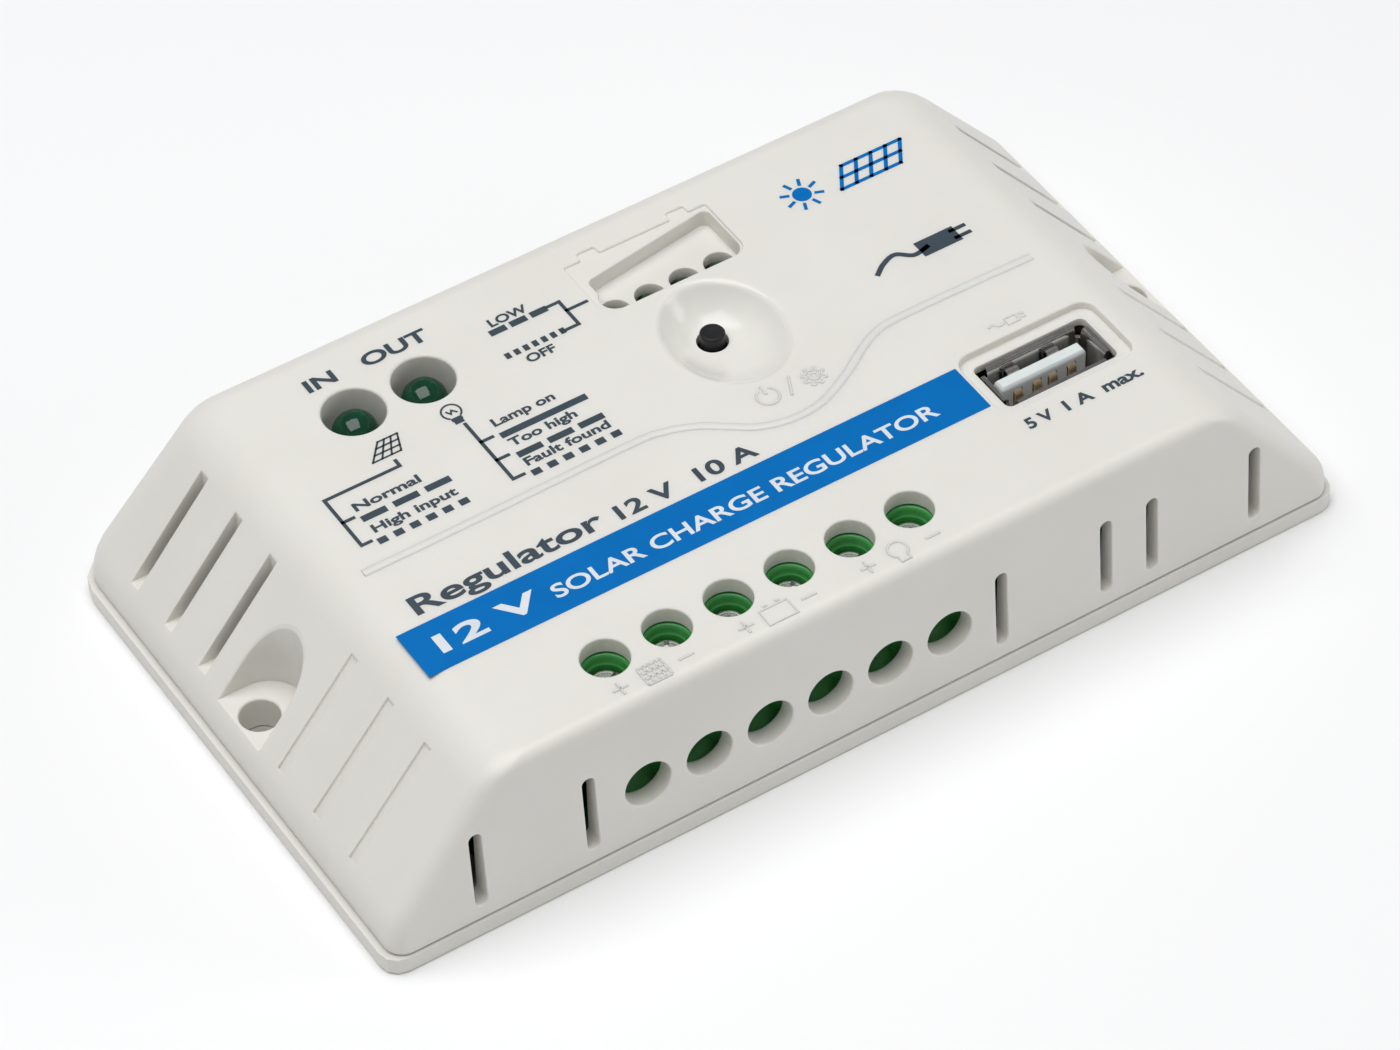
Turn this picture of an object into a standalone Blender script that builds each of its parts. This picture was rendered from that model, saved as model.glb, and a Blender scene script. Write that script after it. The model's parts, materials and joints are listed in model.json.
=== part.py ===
"""Solar charge controller in a moulded case: two covers, a circuit board, six screw terminals,
an upright USB socket, a push button and six indicator LEDs. Metres, +Z up, base centred on the origin."""

import math

import bmesh
import bpy
from mathutils import Matrix, Vector

# Case
BODY_LENGTH = 0.1203
BODY_DEPTH = 0.067
BODY_HEIGHT = 0.0218
WALL = 0.002
FRONT_WALL = 0.0027  # at its foot; the draft thins it upwards
CLEARANCE = 0.0003  # between pieces that touch
RIM_HEIGHT = 0.0022  # of the bottom cover, up to the parting line
RIM_CHAMFER = 0.0001
END_INSET = 0.00075  # the top cover's ends stand in from the bottom cover's rim
FRONT_DRAFT = 0.0015  # how far the front leans in over the full height
BACK_DRAFT = 0.002
SLOPE_ANGLE = math.radians(50.2)
SLOPE_FOOT = 0.0055  # height where the sloped end would meet the upright one
SLOPE_BLEND = 0.008  # radius where the slope meets the top
FOOT_BLEND = 0.0055  # and where it meets the upright end
FRONT_EDGE = 0.0013
BACK_EDGE = 0.003
FRONT_CORNER = 0.0022
BACK_CORNER = 0.0042
LIP_HEIGHT = 0.0011
LIP_THICKNESS = 0.001
CORNER_STEPS = 3
BLEND_STEPS = 3

# Mounting recess in each sloped end
MOUNT_INSET = 0.0044  # hole centre from the end of the body
MOUNT_HOLE = 0.0045
MOUNT_FLOOR = 0.00665
RECESS_WIDTH = 0.00857
RECESS_BACKSET = 0.00095  # its round end's centre lies this far inside the mounting hole
RECESS_WALL = 0.0015

# Vents
VENT_WIDTH = 0.0015
VENT_LOW, VENT_HIGH = 0.00424, 0.01442
VENT_PAST_SHOULDER = 0.00298  # the outermost vents, under the sloped ends
VENT_BEFORE_ROW, VENT_AFTER_ROW = 0.00697, 0.00663  # beside the terminal row, from its end poles
VENT_INSETS = (0.01652, 0.01052)  # the two by the USB socket, from the right shoulder
END_VENT_PITCH = 0.00727
END_VENT_START = 0.00837  # first end vent or groove from the middle of the depth
END_VENT_COUNT = 3
END_VENT_DROP = 0.00295  # top of an end vent below the top face
END_VENT_LOW = 0.0072
GROOVE_WIDTH = 0.0013
GROOVE_DEPTH = 0.0005

# Case screws
BOSS_DIAMETER = 0.0056
BOSS_INSET = 0.00755  # from the end of the body
BOSS_OVERLAP = 0.0002  # the boss runs this far into the front or back wall
SCREW_SHANK = 0.002
SCREW_LENGTH = 0.0077
SCREW_HEAD = 0.0042
SCREW_HEAD_HEIGHT = 0.0008
SCREW_SINK = 0.0001
SLOT_SHARES = (0.6, 0.16, 0.12)  # length, width and depth of a cross slot, of its head's diameter
HEAD_ROUNDING = 0.8  # of a head's radius at its face
TIP_TAPER = 0.5  # of a shank's radius at its tip

# Circuit board
BOARD_THICKNESS = 0.0016
BOARD_BOTTOM = 0.0036
BOARD_END_ROOM = 0.01415
BOARD_SIDE_ROOM = 0.0033
BOARD_SCREW_INSET = (0.0035, 0.004)  # from the board's end and side
BOARD_SCREW_SHANK = 0.002
BOARD_SCREW_HEAD = 0.004
BOARD_SCREW_HEAD_HEIGHT = 0.0014
POST_DIAMETER = 0.006

# Screw terminals
POLE_PITCH = 0.0075
POLES_PER_BLOCK = 2
BLOCK_NAMES = ("pv", "battery", "load")
ROW_X = -0.00958
SCREW_AXIS_Y = 0.00842  # from the front edge of the base
SCREW_HOLE = 0.00528
WIRE_HOLE = 0.00556
WIRE_HOLE_Z = 0.00952
BLOCK_DEPTH = 0.0109
BLOCK_FRONT_GAP = 0.0003
BLOCK_BORE = 0.0043
BLOCK_LIP = 0.0005
FUNNEL_MOUTH = 0.0054
FUNNEL_THROAT = 0.0042
HEAD_SINK = 0.0015  # terminal screw head below the block's top
HEAD_HEIGHT = 0.0016
HEAD_DIAMETER = 0.0037
THREAD_DIAMETER = 0.0026
SHOULDER = 0.0006  # ring of the block that keeps the head up
CHAMBER_WIDTH = 0.006
CHAMBER_BEHIND = 0.0042  # chamber behind the screw axis
CHAMBER_AHEAD = 0.0028
CAGE_WIDTH = 0.0054
CAGE_DEPTH = 0.005
CAGE_SIDE = 0.0008
CAGE_FLOOR = 0.0008
CAGE_TOP = 0.0012
WIRE_ROOM = 0.0029
WIRE_DROP = 0.00192  # cage floor below the wire hole's axis
BAR_WIDTH = 0.003
BAR_THICKNESS = 0.0007
TAIL_WIDTH = 0.001
TAIL_LENGTH = 0.0008  # below the board

# USB socket
USB_INSET = 0.01187  # from the right shoulder of the top
USB_Y = 0.019  # from the front edge of the base
USB_RECESS = (0.01745, 0.0097)
USB_RECESS_DEPTH = 0.001
USB_RECESS_CORNER = 0.0018
USB_OPENING = (0.0145, 0.007)
USB_OPENING_CORNER = 0.0008
USB_SHELL = (0.0131, 0.0059)
USB_SHELL_WALL = 0.0004
USB_SHELL_SINK = 0.0012  # below the top face
USB_INSULATOR_BASE = 0.004
TONGUE = (0.0111, 0.00184)
TONGUE_BEHIND = 0.0007  # to the shell's inner back
TONGUE_SINK = 0.0022
TONGUE_TAPER = 0.0005
USB_CONTACT_X = (-0.0035, -0.001, 0.001, 0.0035)
USB_CONTACT_WIDTH = 0.001
USB_CONTACT_THICKNESS = 0.0003
USB_CONTACT_SINK = 0.0011  # below the tongue's tip

# Push button and its dish
DISH_X = 0.0075
DISH_Y = 0.0257  # from the back edge of the base
DISH_HALF_WIDTH = 0.0067
DISH_HALF_DEPTH = 0.0082
DISH_SINK = 0.0035
DISH_WALL = 0.0013
BUTTON_Y = 0.0233  # from the back edge of the base
BUTTON_DIAMETER = 0.00285
BUTTON_HOLE = 0.0036
BUTTON_SINK = 0.0021
BUTTON_TRAVEL = 0.00025
BUTTON_CHAMFER = 0.0002
SWITCH_SIDE = 0.0062
SWITCH_HEIGHT = 0.0034
SWITCH_FRAME = 0.0003
PLUNGER_FOOT = (0.0042, 0.0006)  # diameter and height of the flange held under the frame

# Battery gauge
GAUGE_X = 0.00745
GAUGE_FRONT = 0.0165  # front edge of the recess, from the back edge of the base
GAUGE_BACK = 0.0078
GAUGE_WIDTH = 0.0183
GAUGE_RECESS = 0.00035
GAUGE_POCKET = 0.0025
GAUGE_POCKET_DEPTHS = (0.0043, 0.0071)  # at its left and right ends
GAUGE_POCKET_LEFT = 0.0012
GAUGE_CORNER = 0.0016
POLE_MARK = (0.0023, 0.0011)
POLE_MARK_OFFSET = 0.00575
GAUGE_LED_COUNT = 4
GAUGE_LED_PITCH = 0.00446
GAUGE_LED_Y = 0.0144
GAUGE_LED_HOLE = 0.0035
GAUGE_LED_DIAMETER = 0.0029
GAUGE_LED_FLANGE = 0.0033
GAUGE_LED_HEIGHT = 0.0051
GAUGE_LED_SINK = 0.0003  # dome below the pocket's floor
GAUGE_LED_LEADS = 0.0013
GAUGE_LEAD = 0.0004
GAUGE_LEAD_HOLE = 0.0024
GAUGE_HOLDER = (0.0176, 0.0042)

# Status LEDs
STATUS_LED_INSET = 0.01408  # from the left shoulder of the top to the first
STATUS_LED_PITCH = 0.00863
STATUS_LED_Y = 0.0139  # from the back edge of the base
STATUS_LED_HOLE = 0.00704
STATUS_LED_DIAMETER = 0.005
STATUS_LED_FLANGE = 0.0058
STATUS_LED_HEIGHT = 0.0086
STATUS_LED_SINK = 0.0007
STATUS_LEADS = 0.00254
STATUS_LEAD = 0.0005
SPACER_BORE = 0.0042
FLANGE_HEIGHT = 0.001

# Board components; an inset is the distance from the nearer end of the board
INPUT_CAPACITOR = (0.010, 0.0125)  # diameter and height
OUTPUT_CAPACITOR = (0.008, 0.0115)
CAPACITOR_INSET = 0.0075
INPUT_CAPACITOR_Y, OUTPUT_CAPACITOR_Y = 0.004, 0.006
CAPACITOR_NECK = 0.93  # share of the radius at the crimped neck
CAPACITOR_CRIMP = (0.0009, 0.0012, 0.0018, 0.0021)
CAPACITOR_EDGE = 0.0004
CHIP_DRAW = 0.12  # of a package's height, all round
CHIP_BELT = (0.45, 0.55)
TRANSISTOR_BODY = (0.010, 0.0088)
TRANSISTOR_HEIGHT = 0.0044
TRANSISTOR_TAB = (0.009, 0.0022, 0.0013)  # width, length behind the body and thickness
TRANSISTOR_COUNT = 3
TRANSISTOR_PITCH = 0.012
TRANSISTOR_INSET = 0.018
ROW_GAP = 0.0032  # between the terminal blocks and the components behind them
DIODE_BODY = (0.0079, 0.0062)
DIODE_HEIGHT = 0.0024
DIODE_PITCH = 0.0125
CONTROLLER_BODY = (0.007, 0.007)
CONTROLLER_HEIGHT = 0.0014
CONTROLLER_INSET, CONTROLLER_Y = 0.0345, 0.0095
CONVERTER_BODY = (0.005, 0.004)
CONVERTER_HEIGHT = 0.0015
CONVERTER_INSET, CONVERTER_Y = 0.0215, 0.0125
INDUCTOR_BODY = (0.0075, 0.0075)
INDUCTOR_HEIGHT = 0.0042
INDUCTOR_INSET, INDUCTOR_Y = 0.0195, 0.0005
SHUNT_SIZE = (0.012, 0.003, 0.0008, 0.003)  # length, width, thickness and height
SHUNT_FOOT = 0.002
SHUNT_INSET, SHUNT_Y = 0.0225, 0.0035

ROUND_STEPS = 24
SMALL_STEPS = 14
DISH_STEPS = 6
CUT_PAST = 0.001  # how far a cutter runs past the face it opens

# Places worked out from the sizes above
FRONT = -BODY_DEPTH / 2
BACK = BODY_DEPTH / 2
COVER_FOOT = RIM_HEIGHT + CLEARANCE
CEILING = BODY_HEIGHT - WALL
INNER_BACK = BACK - FRONT_WALL
INNER_FRONT = FRONT + FRONT_WALL
BOARD_HALF = BODY_LENGTH / 2 - BOARD_END_ROOM
BOARD_SIDE = BACK - BOARD_SIDE_ROOM
BOARD_TOP = BOARD_BOTTOM + BOARD_THICKNESS
SEAT = BOARD_TOP + CLEARANCE  # where parts stand on the board
END_HALF = BODY_LENGTH / 2 - END_INSET
SHOULDER_HALF = END_HALF - (BODY_HEIGHT - SLOPE_FOOT) / math.tan(SLOPE_ANGLE)
MOUNT_X = BODY_LENGTH / 2 - MOUNT_INSET
BOSS_X = BODY_LENGTH / 2 - BOSS_INSET
BOSS_Y = INNER_BACK - BOSS_DIAMETER / 2 + BOSS_OVERLAP
TERMINAL_Y = FRONT + SCREW_AXIS_Y
POLE_COUNT = POLES_PER_BLOCK * len(BLOCK_NAMES)
BLOCK_TOP = CEILING - CLEARANCE
BLOCK_FRONT = INNER_FRONT + BLOCK_FRONT_GAP
BLOCK_BACK = BLOCK_FRONT + BLOCK_DEPTH
HEAD_TOP = BLOCK_TOP - HEAD_SINK
HEAD_BOTTOM = HEAD_TOP - HEAD_HEIGHT
CHAMBER_TOP = HEAD_BOTTOM - CLEARANCE - SHOULDER
CAGE_FLOOR_TOP = WIRE_HOLE_Z - WIRE_DROP
BAR_BOTTOM = CAGE_FLOOR_TOP + WIRE_ROOM
BAR_TOP = BAR_BOTTOM + BAR_THICKNESS
USB_PLACE = (SHOULDER_HALF - USB_INSET, FRONT + USB_Y)
TONGUE_BACK = USB_PLACE[1] + USB_SHELL[1] / 2 - USB_SHELL_WALL - TONGUE_BEHIND
TONGUE_FACE = TONGUE_BACK - TONGUE[1]
BUTTON_PLACE = (DISH_X, BACK - BUTTON_Y)
DISH_FLOOR = BODY_HEIGHT - DISH_SINK
POCKET_FLOOR = BODY_HEIGHT - GAUGE_POCKET
POCKET_UNDERSIDE = POCKET_FLOOR - RECESS_WALL
SWITCH_TOP = SEAT + SWITCH_HEIGHT
LED_X = STATUS_LED_INSET - SHOULDER_HALF
STATUS_LEDS = {"pv": LED_X, "load": LED_X + STATUS_LED_PITCH}
LOOKS = {
    "housing": ((0.80, 0.79, 0.76), 0.45, 0.0),
    "housing_base": ((0.78, 0.77, 0.74), 0.5, 0.0),
    "board": ((0.02, 0.16, 0.07), 0.35, 0.0),
    "terminal_green": ((0.05, 0.33, 0.08), 0.35, 0.0),
    "plated_steel": ((0.72, 0.72, 0.70), 0.3, 1.0),
    "zinc": ((0.6, 0.6, 0.62), 0.35, 1.0),
    "tinned_copper": ((0.75, 0.70, 0.62), 0.3, 1.0),
    "gold": ((0.85, 0.62, 0.25), 0.25, 1.0),
    "socket_white": ((0.75, 0.77, 0.76), 0.4, 0.0),
    "led_green": ((0.01, 0.12, 0.05), 0.15, 0.0),
    "black_plastic": ((0.015, 0.015, 0.018), 0.45, 0.0),
    "spacer_white": ((0.7, 0.7, 0.68), 0.5, 0.0),
    "capacitor_sleeve": ((0.02, 0.03, 0.08), 0.3, 0.0),
    "ferrite": ((0.07, 0.07, 0.075), 0.7, 0.0),
    "manganin": ((0.5, 0.33, 0.2), 0.4, 1.0),
}


def clear_scene():
    for obj in list(bpy.data.objects):
        bpy.data.objects.remove(obj, do_unlink=True)


def material(look):
    if look in bpy.data.materials:
        return bpy.data.materials[look]
    made = bpy.data.materials.new(look)
    made.use_nodes = True
    shader = made.node_tree.nodes["Principled BSDF"]
    color, roughness, metallic = LOOKS[look]
    shader.inputs["Base Color"].default_value = (*color, 1.0)
    shader.inputs["Roughness"].default_value = roughness
    shader.inputs["Metallic"].default_value = metallic
    return made


def finish(name, bm, look=None, place=(0, 0, 0)):
    """Makes the object of a bmesh whose points are relative to place."""
    bmesh.ops.recalc_face_normals(bm, faces=bm.faces)
    mesh = bpy.data.meshes.new(name)
    bm.to_mesh(mesh)
    bm.free()
    obj = bpy.data.objects.new(name, mesh)
    obj.location = place
    bpy.context.scene.collection.objects.link(obj)
    if look:
        mesh.materials.append(material(look))
        mesh.shade_smooth()
        mesh.set_sharp_from_angle(angle=math.radians(30))
    return obj


def cutter(name, bm):
    obj = finish(name, bm)
    obj.hide_render = True
    obj.display_type = "WIRE"
    return obj


def combine(target, tool, operation="DIFFERENCE"):
    modifier = target.modifiers.new(tool.name, "BOOLEAN")
    modifier.operation = operation
    modifier.object = tool
    modifier.solver = "EXACT"


def loft(bm, rings):
    """Skins rings of equal point count, from the lowest to the highest, and caps both ends."""
    rows = [[bm.verts.new(point) for point in ring] for ring in rings]
    for low, high in zip(rows, rows[1:]):
        for i in range(len(low)):
            j = (i + 1) % len(low)
            bm.faces.new((low[i], low[j], high[j], high[i]))
    caps = [bm.faces.new(rows[0][::-1]), bm.faces.new(rows[-1])]
    sides = [face for face in bm.faces if face not in caps and len(face.verts) == 4]
    bmesh.ops.triangulate(bm, faces=[face for face in sides if not is_flat(face)])


def is_flat(face):
    corners = [vert.co for vert in face.verts]
    normal = (corners[1] - corners[0]).cross(corners[2] - corners[0])
    return abs(normal.dot(corners[3] - corners[0])) < 1e-12


def prism(bm, outline, low, high):
    loft(bm, [[(x, y, z) for x, y in outline] for z in (low, high)])


def box(bm, low, high):
    outline = [(low[0], low[1]), (high[0], low[1]), (high[0], high[1]), (low[0], high[1])]
    prism(bm, outline, low[2], high[2])


def block(bm, centre, size, low, high):
    (x, y), wide, deep = centre, size[0] / 2, size[1] / 2
    box(bm, (x - wide, y - deep, low), (x + wide, y + deep, high))


def circle(radius, centre=(0, 0), steps=ROUND_STEPS):
    angles = [2 * math.pi * i / steps for i in range(steps)]
    return [(centre[0] + radius * math.cos(a), centre[1] + radius * math.sin(a)) for a in angles]


def turned(bm, profile, centre=(0, 0), steps=ROUND_STEPS):
    """Turns (radius, height) points, from the lowest to the highest, about the upright through centre."""
    loft(bm, [[(x, y, z) for x, y in circle(radius, centre, steps)] for radius, z in profile])


def arc(centre, radius, start, end, steps):
    """Points of an arc between two angles in degrees."""
    angles = [math.radians(start + (end - start) * i / steps) for i in range(steps + 1)]
    return [(centre[0] + radius * math.cos(a), centre[1] + radius * math.sin(a)) for a in angles]


def rounded(outline, radii, steps=CORNER_STEPS):
    """Rounds each corner of a counter-clockwise outline by its own radius."""
    points = []
    for i, corner in enumerate(outline):
        here = Vector(corner)
        before = (Vector(outline[i - 1]) - here).normalized()
        after = (Vector(outline[(i + 1) % len(outline)]) - here).normalized()
        radius = radii[i]
        if radius <= 0:
            points.append(tuple(here))
            continue
        half = before.angle(after) / 2
        start = here + before * (radius / math.tan(half))
        centre = here + (before + after).normalized() * (radius / math.sin(half))
        turn = math.pi - 2 * half
        if before.x * after.y - before.y * after.x > 0:
            turn = -turn
        for k in range(steps + 1):
            spoke = Matrix.Rotation(turn * k / steps, 2) @ (start - centre)
            points.append(tuple(centre + spoke))
    return points


def rectangle(centre, size, radius=0.0):
    x, y = size[0] / 2, size[1] / 2
    corners = [(-x, -y), (x, -y), (x, y), (-x, y)]
    return rounded([(centre[0] + a, centre[1] + b) for a, b in corners], [radius] * 4)


def stadium(centre, width, low, high, steps=CORNER_STEPS + 1):
    """Outline of an upright slot with round ends, counter-clockwise."""
    radius = width / 2
    bottom = arc((centre, low + radius), radius, 180, 360, steps)
    return bottom + arc((centre, high - radius), radius, 0, 180, steps)


def along_y(bm, outline, front, back):
    """Extrudes an (x, z) outline from front to back."""
    loft(bm, [[(x, y, z) for x, z in outline] for y in (back, front)])


# Case


def half_length(z):
    """Half the top cover's length at a height, with the slope blended into the end and the top."""
    turn = math.pi / 2 - SLOPE_ANGLE
    foot_start = SLOPE_FOOT - FOOT_BLEND * math.tan(turn / 2)
    shoulder_run = SLOPE_BLEND * math.tan(SLOPE_ANGLE / 2)
    shoulder_start = BODY_HEIGHT - shoulder_run * math.sin(SLOPE_ANGLE)
    if z <= foot_start:
        return END_HALF
    if z <= foot_start + FOOT_BLEND * math.sin(turn):
        return END_HALF - FOOT_BLEND + math.sqrt(FOOT_BLEND**2 - (z - foot_start) ** 2)
    if z <= shoulder_start:
        return SHOULDER_HALF + (BODY_HEIGHT - z) / math.tan(SLOPE_ANGLE)
    rise = z - (BODY_HEIGHT - SLOPE_BLEND)
    return SHOULDER_HALF - shoulder_run + math.sqrt(max(SLOPE_BLEND**2 - rise**2, 0.0))


def edge_inset(z, radius):
    """How far a rounded top edge has drawn the face in at a height."""
    rise = max(z - (BODY_HEIGHT - radius), 0.0)
    return radius - math.sqrt(max(radius**2 - rise**2, 0.0))


def cover_ring(z):
    front_in, back_in = edge_inset(z, FRONT_EDGE), edge_inset(z, BACK_EDGE)
    share = z / BODY_HEIGHT
    half = half_length(z)
    front = FRONT + FRONT_DRAFT * share + front_in
    back = BACK - BACK_DRAFT * share - back_in
    outline = [(-half, front), (half, front), (half, back), (-half, back)]
    front_round = FRONT_CORNER - front_in
    back_round = BACK_CORNER - back_in
    corners = [front_round, front_round, back_round, back_round]
    return [(x, y, z) for x, y in rounded(outline, corners)]


def cover_levels():
    """Heights of the top cover's rings, close together where it is blended."""
    turn = math.pi / 2 - SLOPE_ANGLE
    foot_start = max(SLOPE_FOOT - FOOT_BLEND * math.tan(turn / 2), COVER_FOOT + CLEARANCE)
    foot_end = foot_start + FOOT_BLEND * math.sin(turn)
    foot = [foot_start + (foot_end - foot_start) * i / BLEND_STEPS for i in range(BLEND_STEPS + 1)]
    spread = [math.sin(math.pi / 2 * i / (2 * BLEND_STEPS)) for i in range(2 * BLEND_STEPS + 1)]
    top = [BODY_HEIGHT - BACK_EDGE + BACK_EDGE * s for s in spread]
    return [COVER_FOOT] + foot + top


def inner_half(z):
    """Half the cavity's length: the end wall and the slope, each one wall thickness in."""
    slope = SHOULDER_HALF + (BODY_HEIGHT - z) / math.tan(SLOPE_ANGLE) - WALL / math.sin(SLOPE_ANGLE)
    return min(END_HALF - WALL, slope)


def cavity():
    run = END_HALF - WALL - SHOULDER_HALF + WALL / math.sin(SLOPE_ANGLE)
    corner = BODY_HEIGHT - run * math.tan(SLOPE_ANGLE)
    bm = bmesh.new()
    heights = (COVER_FOOT - CUT_PAST, corner, CEILING)
    right = [(inner_half(z), z) for z in heights]
    left = [(-x, z) for x, z in reversed(right)]
    along_y(bm, right + left, INNER_FRONT, INNER_BACK)
    space = cutter("cavity", bm)
    combine(space, kept_walls())
    return space


def kept_walls():
    """Walls and bosses that stand inside the cavity."""
    bm = bmesh.new()
    low, high = COVER_FOOT - 2 * CUT_PAST, CEILING + CUT_PAST
    recess_end = MOUNT_X - RECESS_BACKSET - RECESS_WIDTH / 2 - RECESS_WALL
    recess_half = RECESS_WIDTH / 2 + RECESS_WALL
    for side in (-1, 1):
        ends = sorted((side * recess_end, side * BODY_LENGTH / 2))
        box(bm, (ends[0], -recess_half, low), (ends[1], recess_half, high))
        for y in (-BOSS_Y, BOSS_Y):
            profile = [(BOSS_DIAMETER / 2, low), (BOSS_DIAMETER / 2, high)]
            turned(bm, profile, (side * BOSS_X, y), SMALL_STEPS)
    rim = dish_ring(0.0, DISH_WALL)
    prism(bm, [(x, y) for x, y, _ in rim], DISH_FLOOR - DISH_WALL, high)
    pads = cutter("kept_walls", bm)
    bm = bmesh.new()
    middle = BACK - (GAUGE_FRONT + GAUGE_BACK) / 2
    depth = GAUGE_FRONT - GAUGE_BACK + 2 * RECESS_WALL
    block(bm, (GAUGE_X, middle), (GAUGE_WIDTH + 2 * RECESS_WALL, depth), POCKET_UNDERSIDE, high)
    combine(pads, cutter("gauge_pad", bm), "UNION")
    return pads


def dish_ring(share, grow=0.0):
    """A ring of the dish: its rim at 0 and the button hole's edge at 1."""
    hole = BUTTON_HOLE / 2
    width = DISH_HALF_WIDTH + (hole - DISH_HALF_WIDTH) * share + grow
    depth = DISH_HALF_DEPTH + (hole - DISH_HALF_DEPTH) * share + grow
    middle = BACK - DISH_Y + (DISH_Y - BUTTON_Y) * share
    z = BODY_HEIGHT - DISH_SINK * (1 - (1 - share) ** 2)
    return [(DISH_X + width * x, middle + depth * y, z) for x, y in circle(1.0)]


def dish():
    bm = bmesh.new()
    rings = [dish_ring(1 - i / DISH_STEPS) for i in range(DISH_STEPS + 1)]
    through = [(x, y, DISH_FLOOR - DISH_WALL - CUT_PAST) for x, y, _ in rings[0]]
    above = [(x, y, BODY_HEIGHT + CUT_PAST) for x, y, _ in rings[-1]]
    loft(bm, [through] + rings + [above])
    return cutter("button_dish", bm)


def gauge_outline():
    """The battery-shaped recess, with its two pole marks at the back."""
    front, back = BACK - GAUGE_FRONT, BACK - GAUGE_BACK
    left, right = GAUGE_X - GAUGE_WIDTH / 2, GAUGE_X + GAUGE_WIDTH / 2
    outline = [(left, front), (right, front), (right, back)]
    for centre in (GAUGE_X + POLE_MARK_OFFSET, GAUGE_X - POLE_MARK_OFFSET):
        near, far = centre + POLE_MARK[0] / 2, centre - POLE_MARK[0] / 2
        outline += [(near, back), (near, back + POLE_MARK[1]), (far, back + POLE_MARK[1]), (far, back)]
    outline.append((left, back))
    return outline


def gauge():
    bm = bmesh.new()
    corners = gauge_outline()
    radii = [GAUGE_CORNER if i in (0, 1) else 0.0 for i in range(len(corners))]
    prism(bm, rounded(corners, radii), BODY_HEIGHT - GAUGE_RECESS, BODY_HEIGHT + CUT_PAST)
    recess = cutter("gauge_recess", bm)
    bm = bmesh.new()
    front = BACK - GAUGE_FRONT
    left, right = GAUGE_X - GAUGE_WIDTH / 2 + GAUGE_POCKET_LEFT, GAUGE_X + GAUGE_WIDTH / 2
    near, far = GAUGE_POCKET_DEPTHS
    wedge = [(left, front), (right, front), (right, front + far), (left, front + near)]
    small = GAUGE_CORNER / 2
    outline = rounded(wedge, [GAUGE_CORNER, GAUGE_CORNER, small, small])
    prism(bm, outline, POCKET_FLOOR, BODY_HEIGHT + CUT_PAST)
    pocket = cutter("gauge_pocket", bm)
    bm = bmesh.new()
    for x in gauge_led_x():
        span = (POCKET_UNDERSIDE - CUT_PAST, BODY_HEIGHT - GAUGE_RECESS)
        turned(bm, [(GAUGE_LED_HOLE / 2, z) for z in span], (x, BACK - GAUGE_LED_Y), SMALL_STEPS)
    return recess, pocket, cutter("gauge_led_holes", bm)


def gauge_led_x():
    return [GAUGE_X + GAUGE_LED_PITCH * (i - (GAUGE_LED_COUNT - 1) / 2) for i in range(GAUGE_LED_COUNT)]


def pole_x():
    return [ROW_X + POLE_PITCH * (i - (POLE_COUNT - 1) / 2) for i in range(POLE_COUNT)]


def vent_x():
    """Places of the front vents: under both slopes, beside the terminal row and by the USB socket."""
    poles = pole_x()
    ends = [side * (SHOULDER_HALF + VENT_PAST_SHOULDER) for side in (-1, 1)]
    beside_row = [poles[0] - VENT_BEFORE_ROW, poles[-1] + VENT_AFTER_ROW]
    return ends + beside_row + [SHOULDER_HALF - x for x in VENT_INSETS]


def end_vents():
    """Open vents behind the mounting recess and shallow grooves in front of it, at both ends."""
    vents, grooves = bmesh.new(), bmesh.new()
    high = BODY_HEIGHT - END_VENT_DROP
    near = half_length(high)
    cut = Vector((math.sin(SLOPE_ANGLE), math.cos(SLOPE_ANGLE))) * GROOVE_DEPTH
    for i in range(END_VENT_COUNT):
        y = END_VENT_START + END_VENT_PITCH * i
        for side in (-1, 1):
            ends = sorted((side * near, side * (BODY_LENGTH / 2 + CUT_PAST)))
            low = (ends[0], y - VENT_WIDTH / 2, END_VENT_LOW)
            box(vents, low, (ends[1], y + VENT_WIDTH / 2, BODY_HEIGHT + CUT_PAST))
            line = []
            for z in (END_VENT_LOW, high):
                x = SHOULDER_HALF + (BODY_HEIGHT - z) / math.tan(SLOPE_ANGLE)
                line.append((x, z))
            deep = [(x - cut.x, z - cut.y) for x, z in line]
            out = [(x + 4 * cut.x, z + 4 * cut.y) for x, z in reversed(line)]
            outline = [(side * x, z) for x, z in deep + out]
            along_y(grooves, outline, -y - GROOVE_WIDTH / 2, -y + GROOVE_WIDTH / 2)
    return cutter("end_vents", vents), cutter("end_grooves", grooves)


def mount_recesses():
    bm = bmesh.new()
    radius = RECESS_WIDTH / 2
    centre = MOUNT_X - RECESS_BACKSET
    out = BODY_LENGTH / 2 + CUT_PAST
    for side in (-1, 1):
        round_end = arc((centre, 0), radius, 270, 90, ROUND_STEPS // 2)
        outline = [(out, -radius)] + round_end + [(out, radius)]
        prism(bm, [(side * x, y) for x, y in outline], MOUNT_FLOOR, BODY_HEIGHT + CUT_PAST)
    recesses = cutter("mount_recesses", bm)
    bm = bmesh.new()
    for side in (-1, 1):
        profile = [(MOUNT_HOLE / 2, z) for z in (-CUT_PAST, MOUNT_FLOOR + CUT_PAST)]
        turned(bm, profile, (side * MOUNT_X, 0))
    return recesses, cutter("mount_holes", bm)


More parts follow.
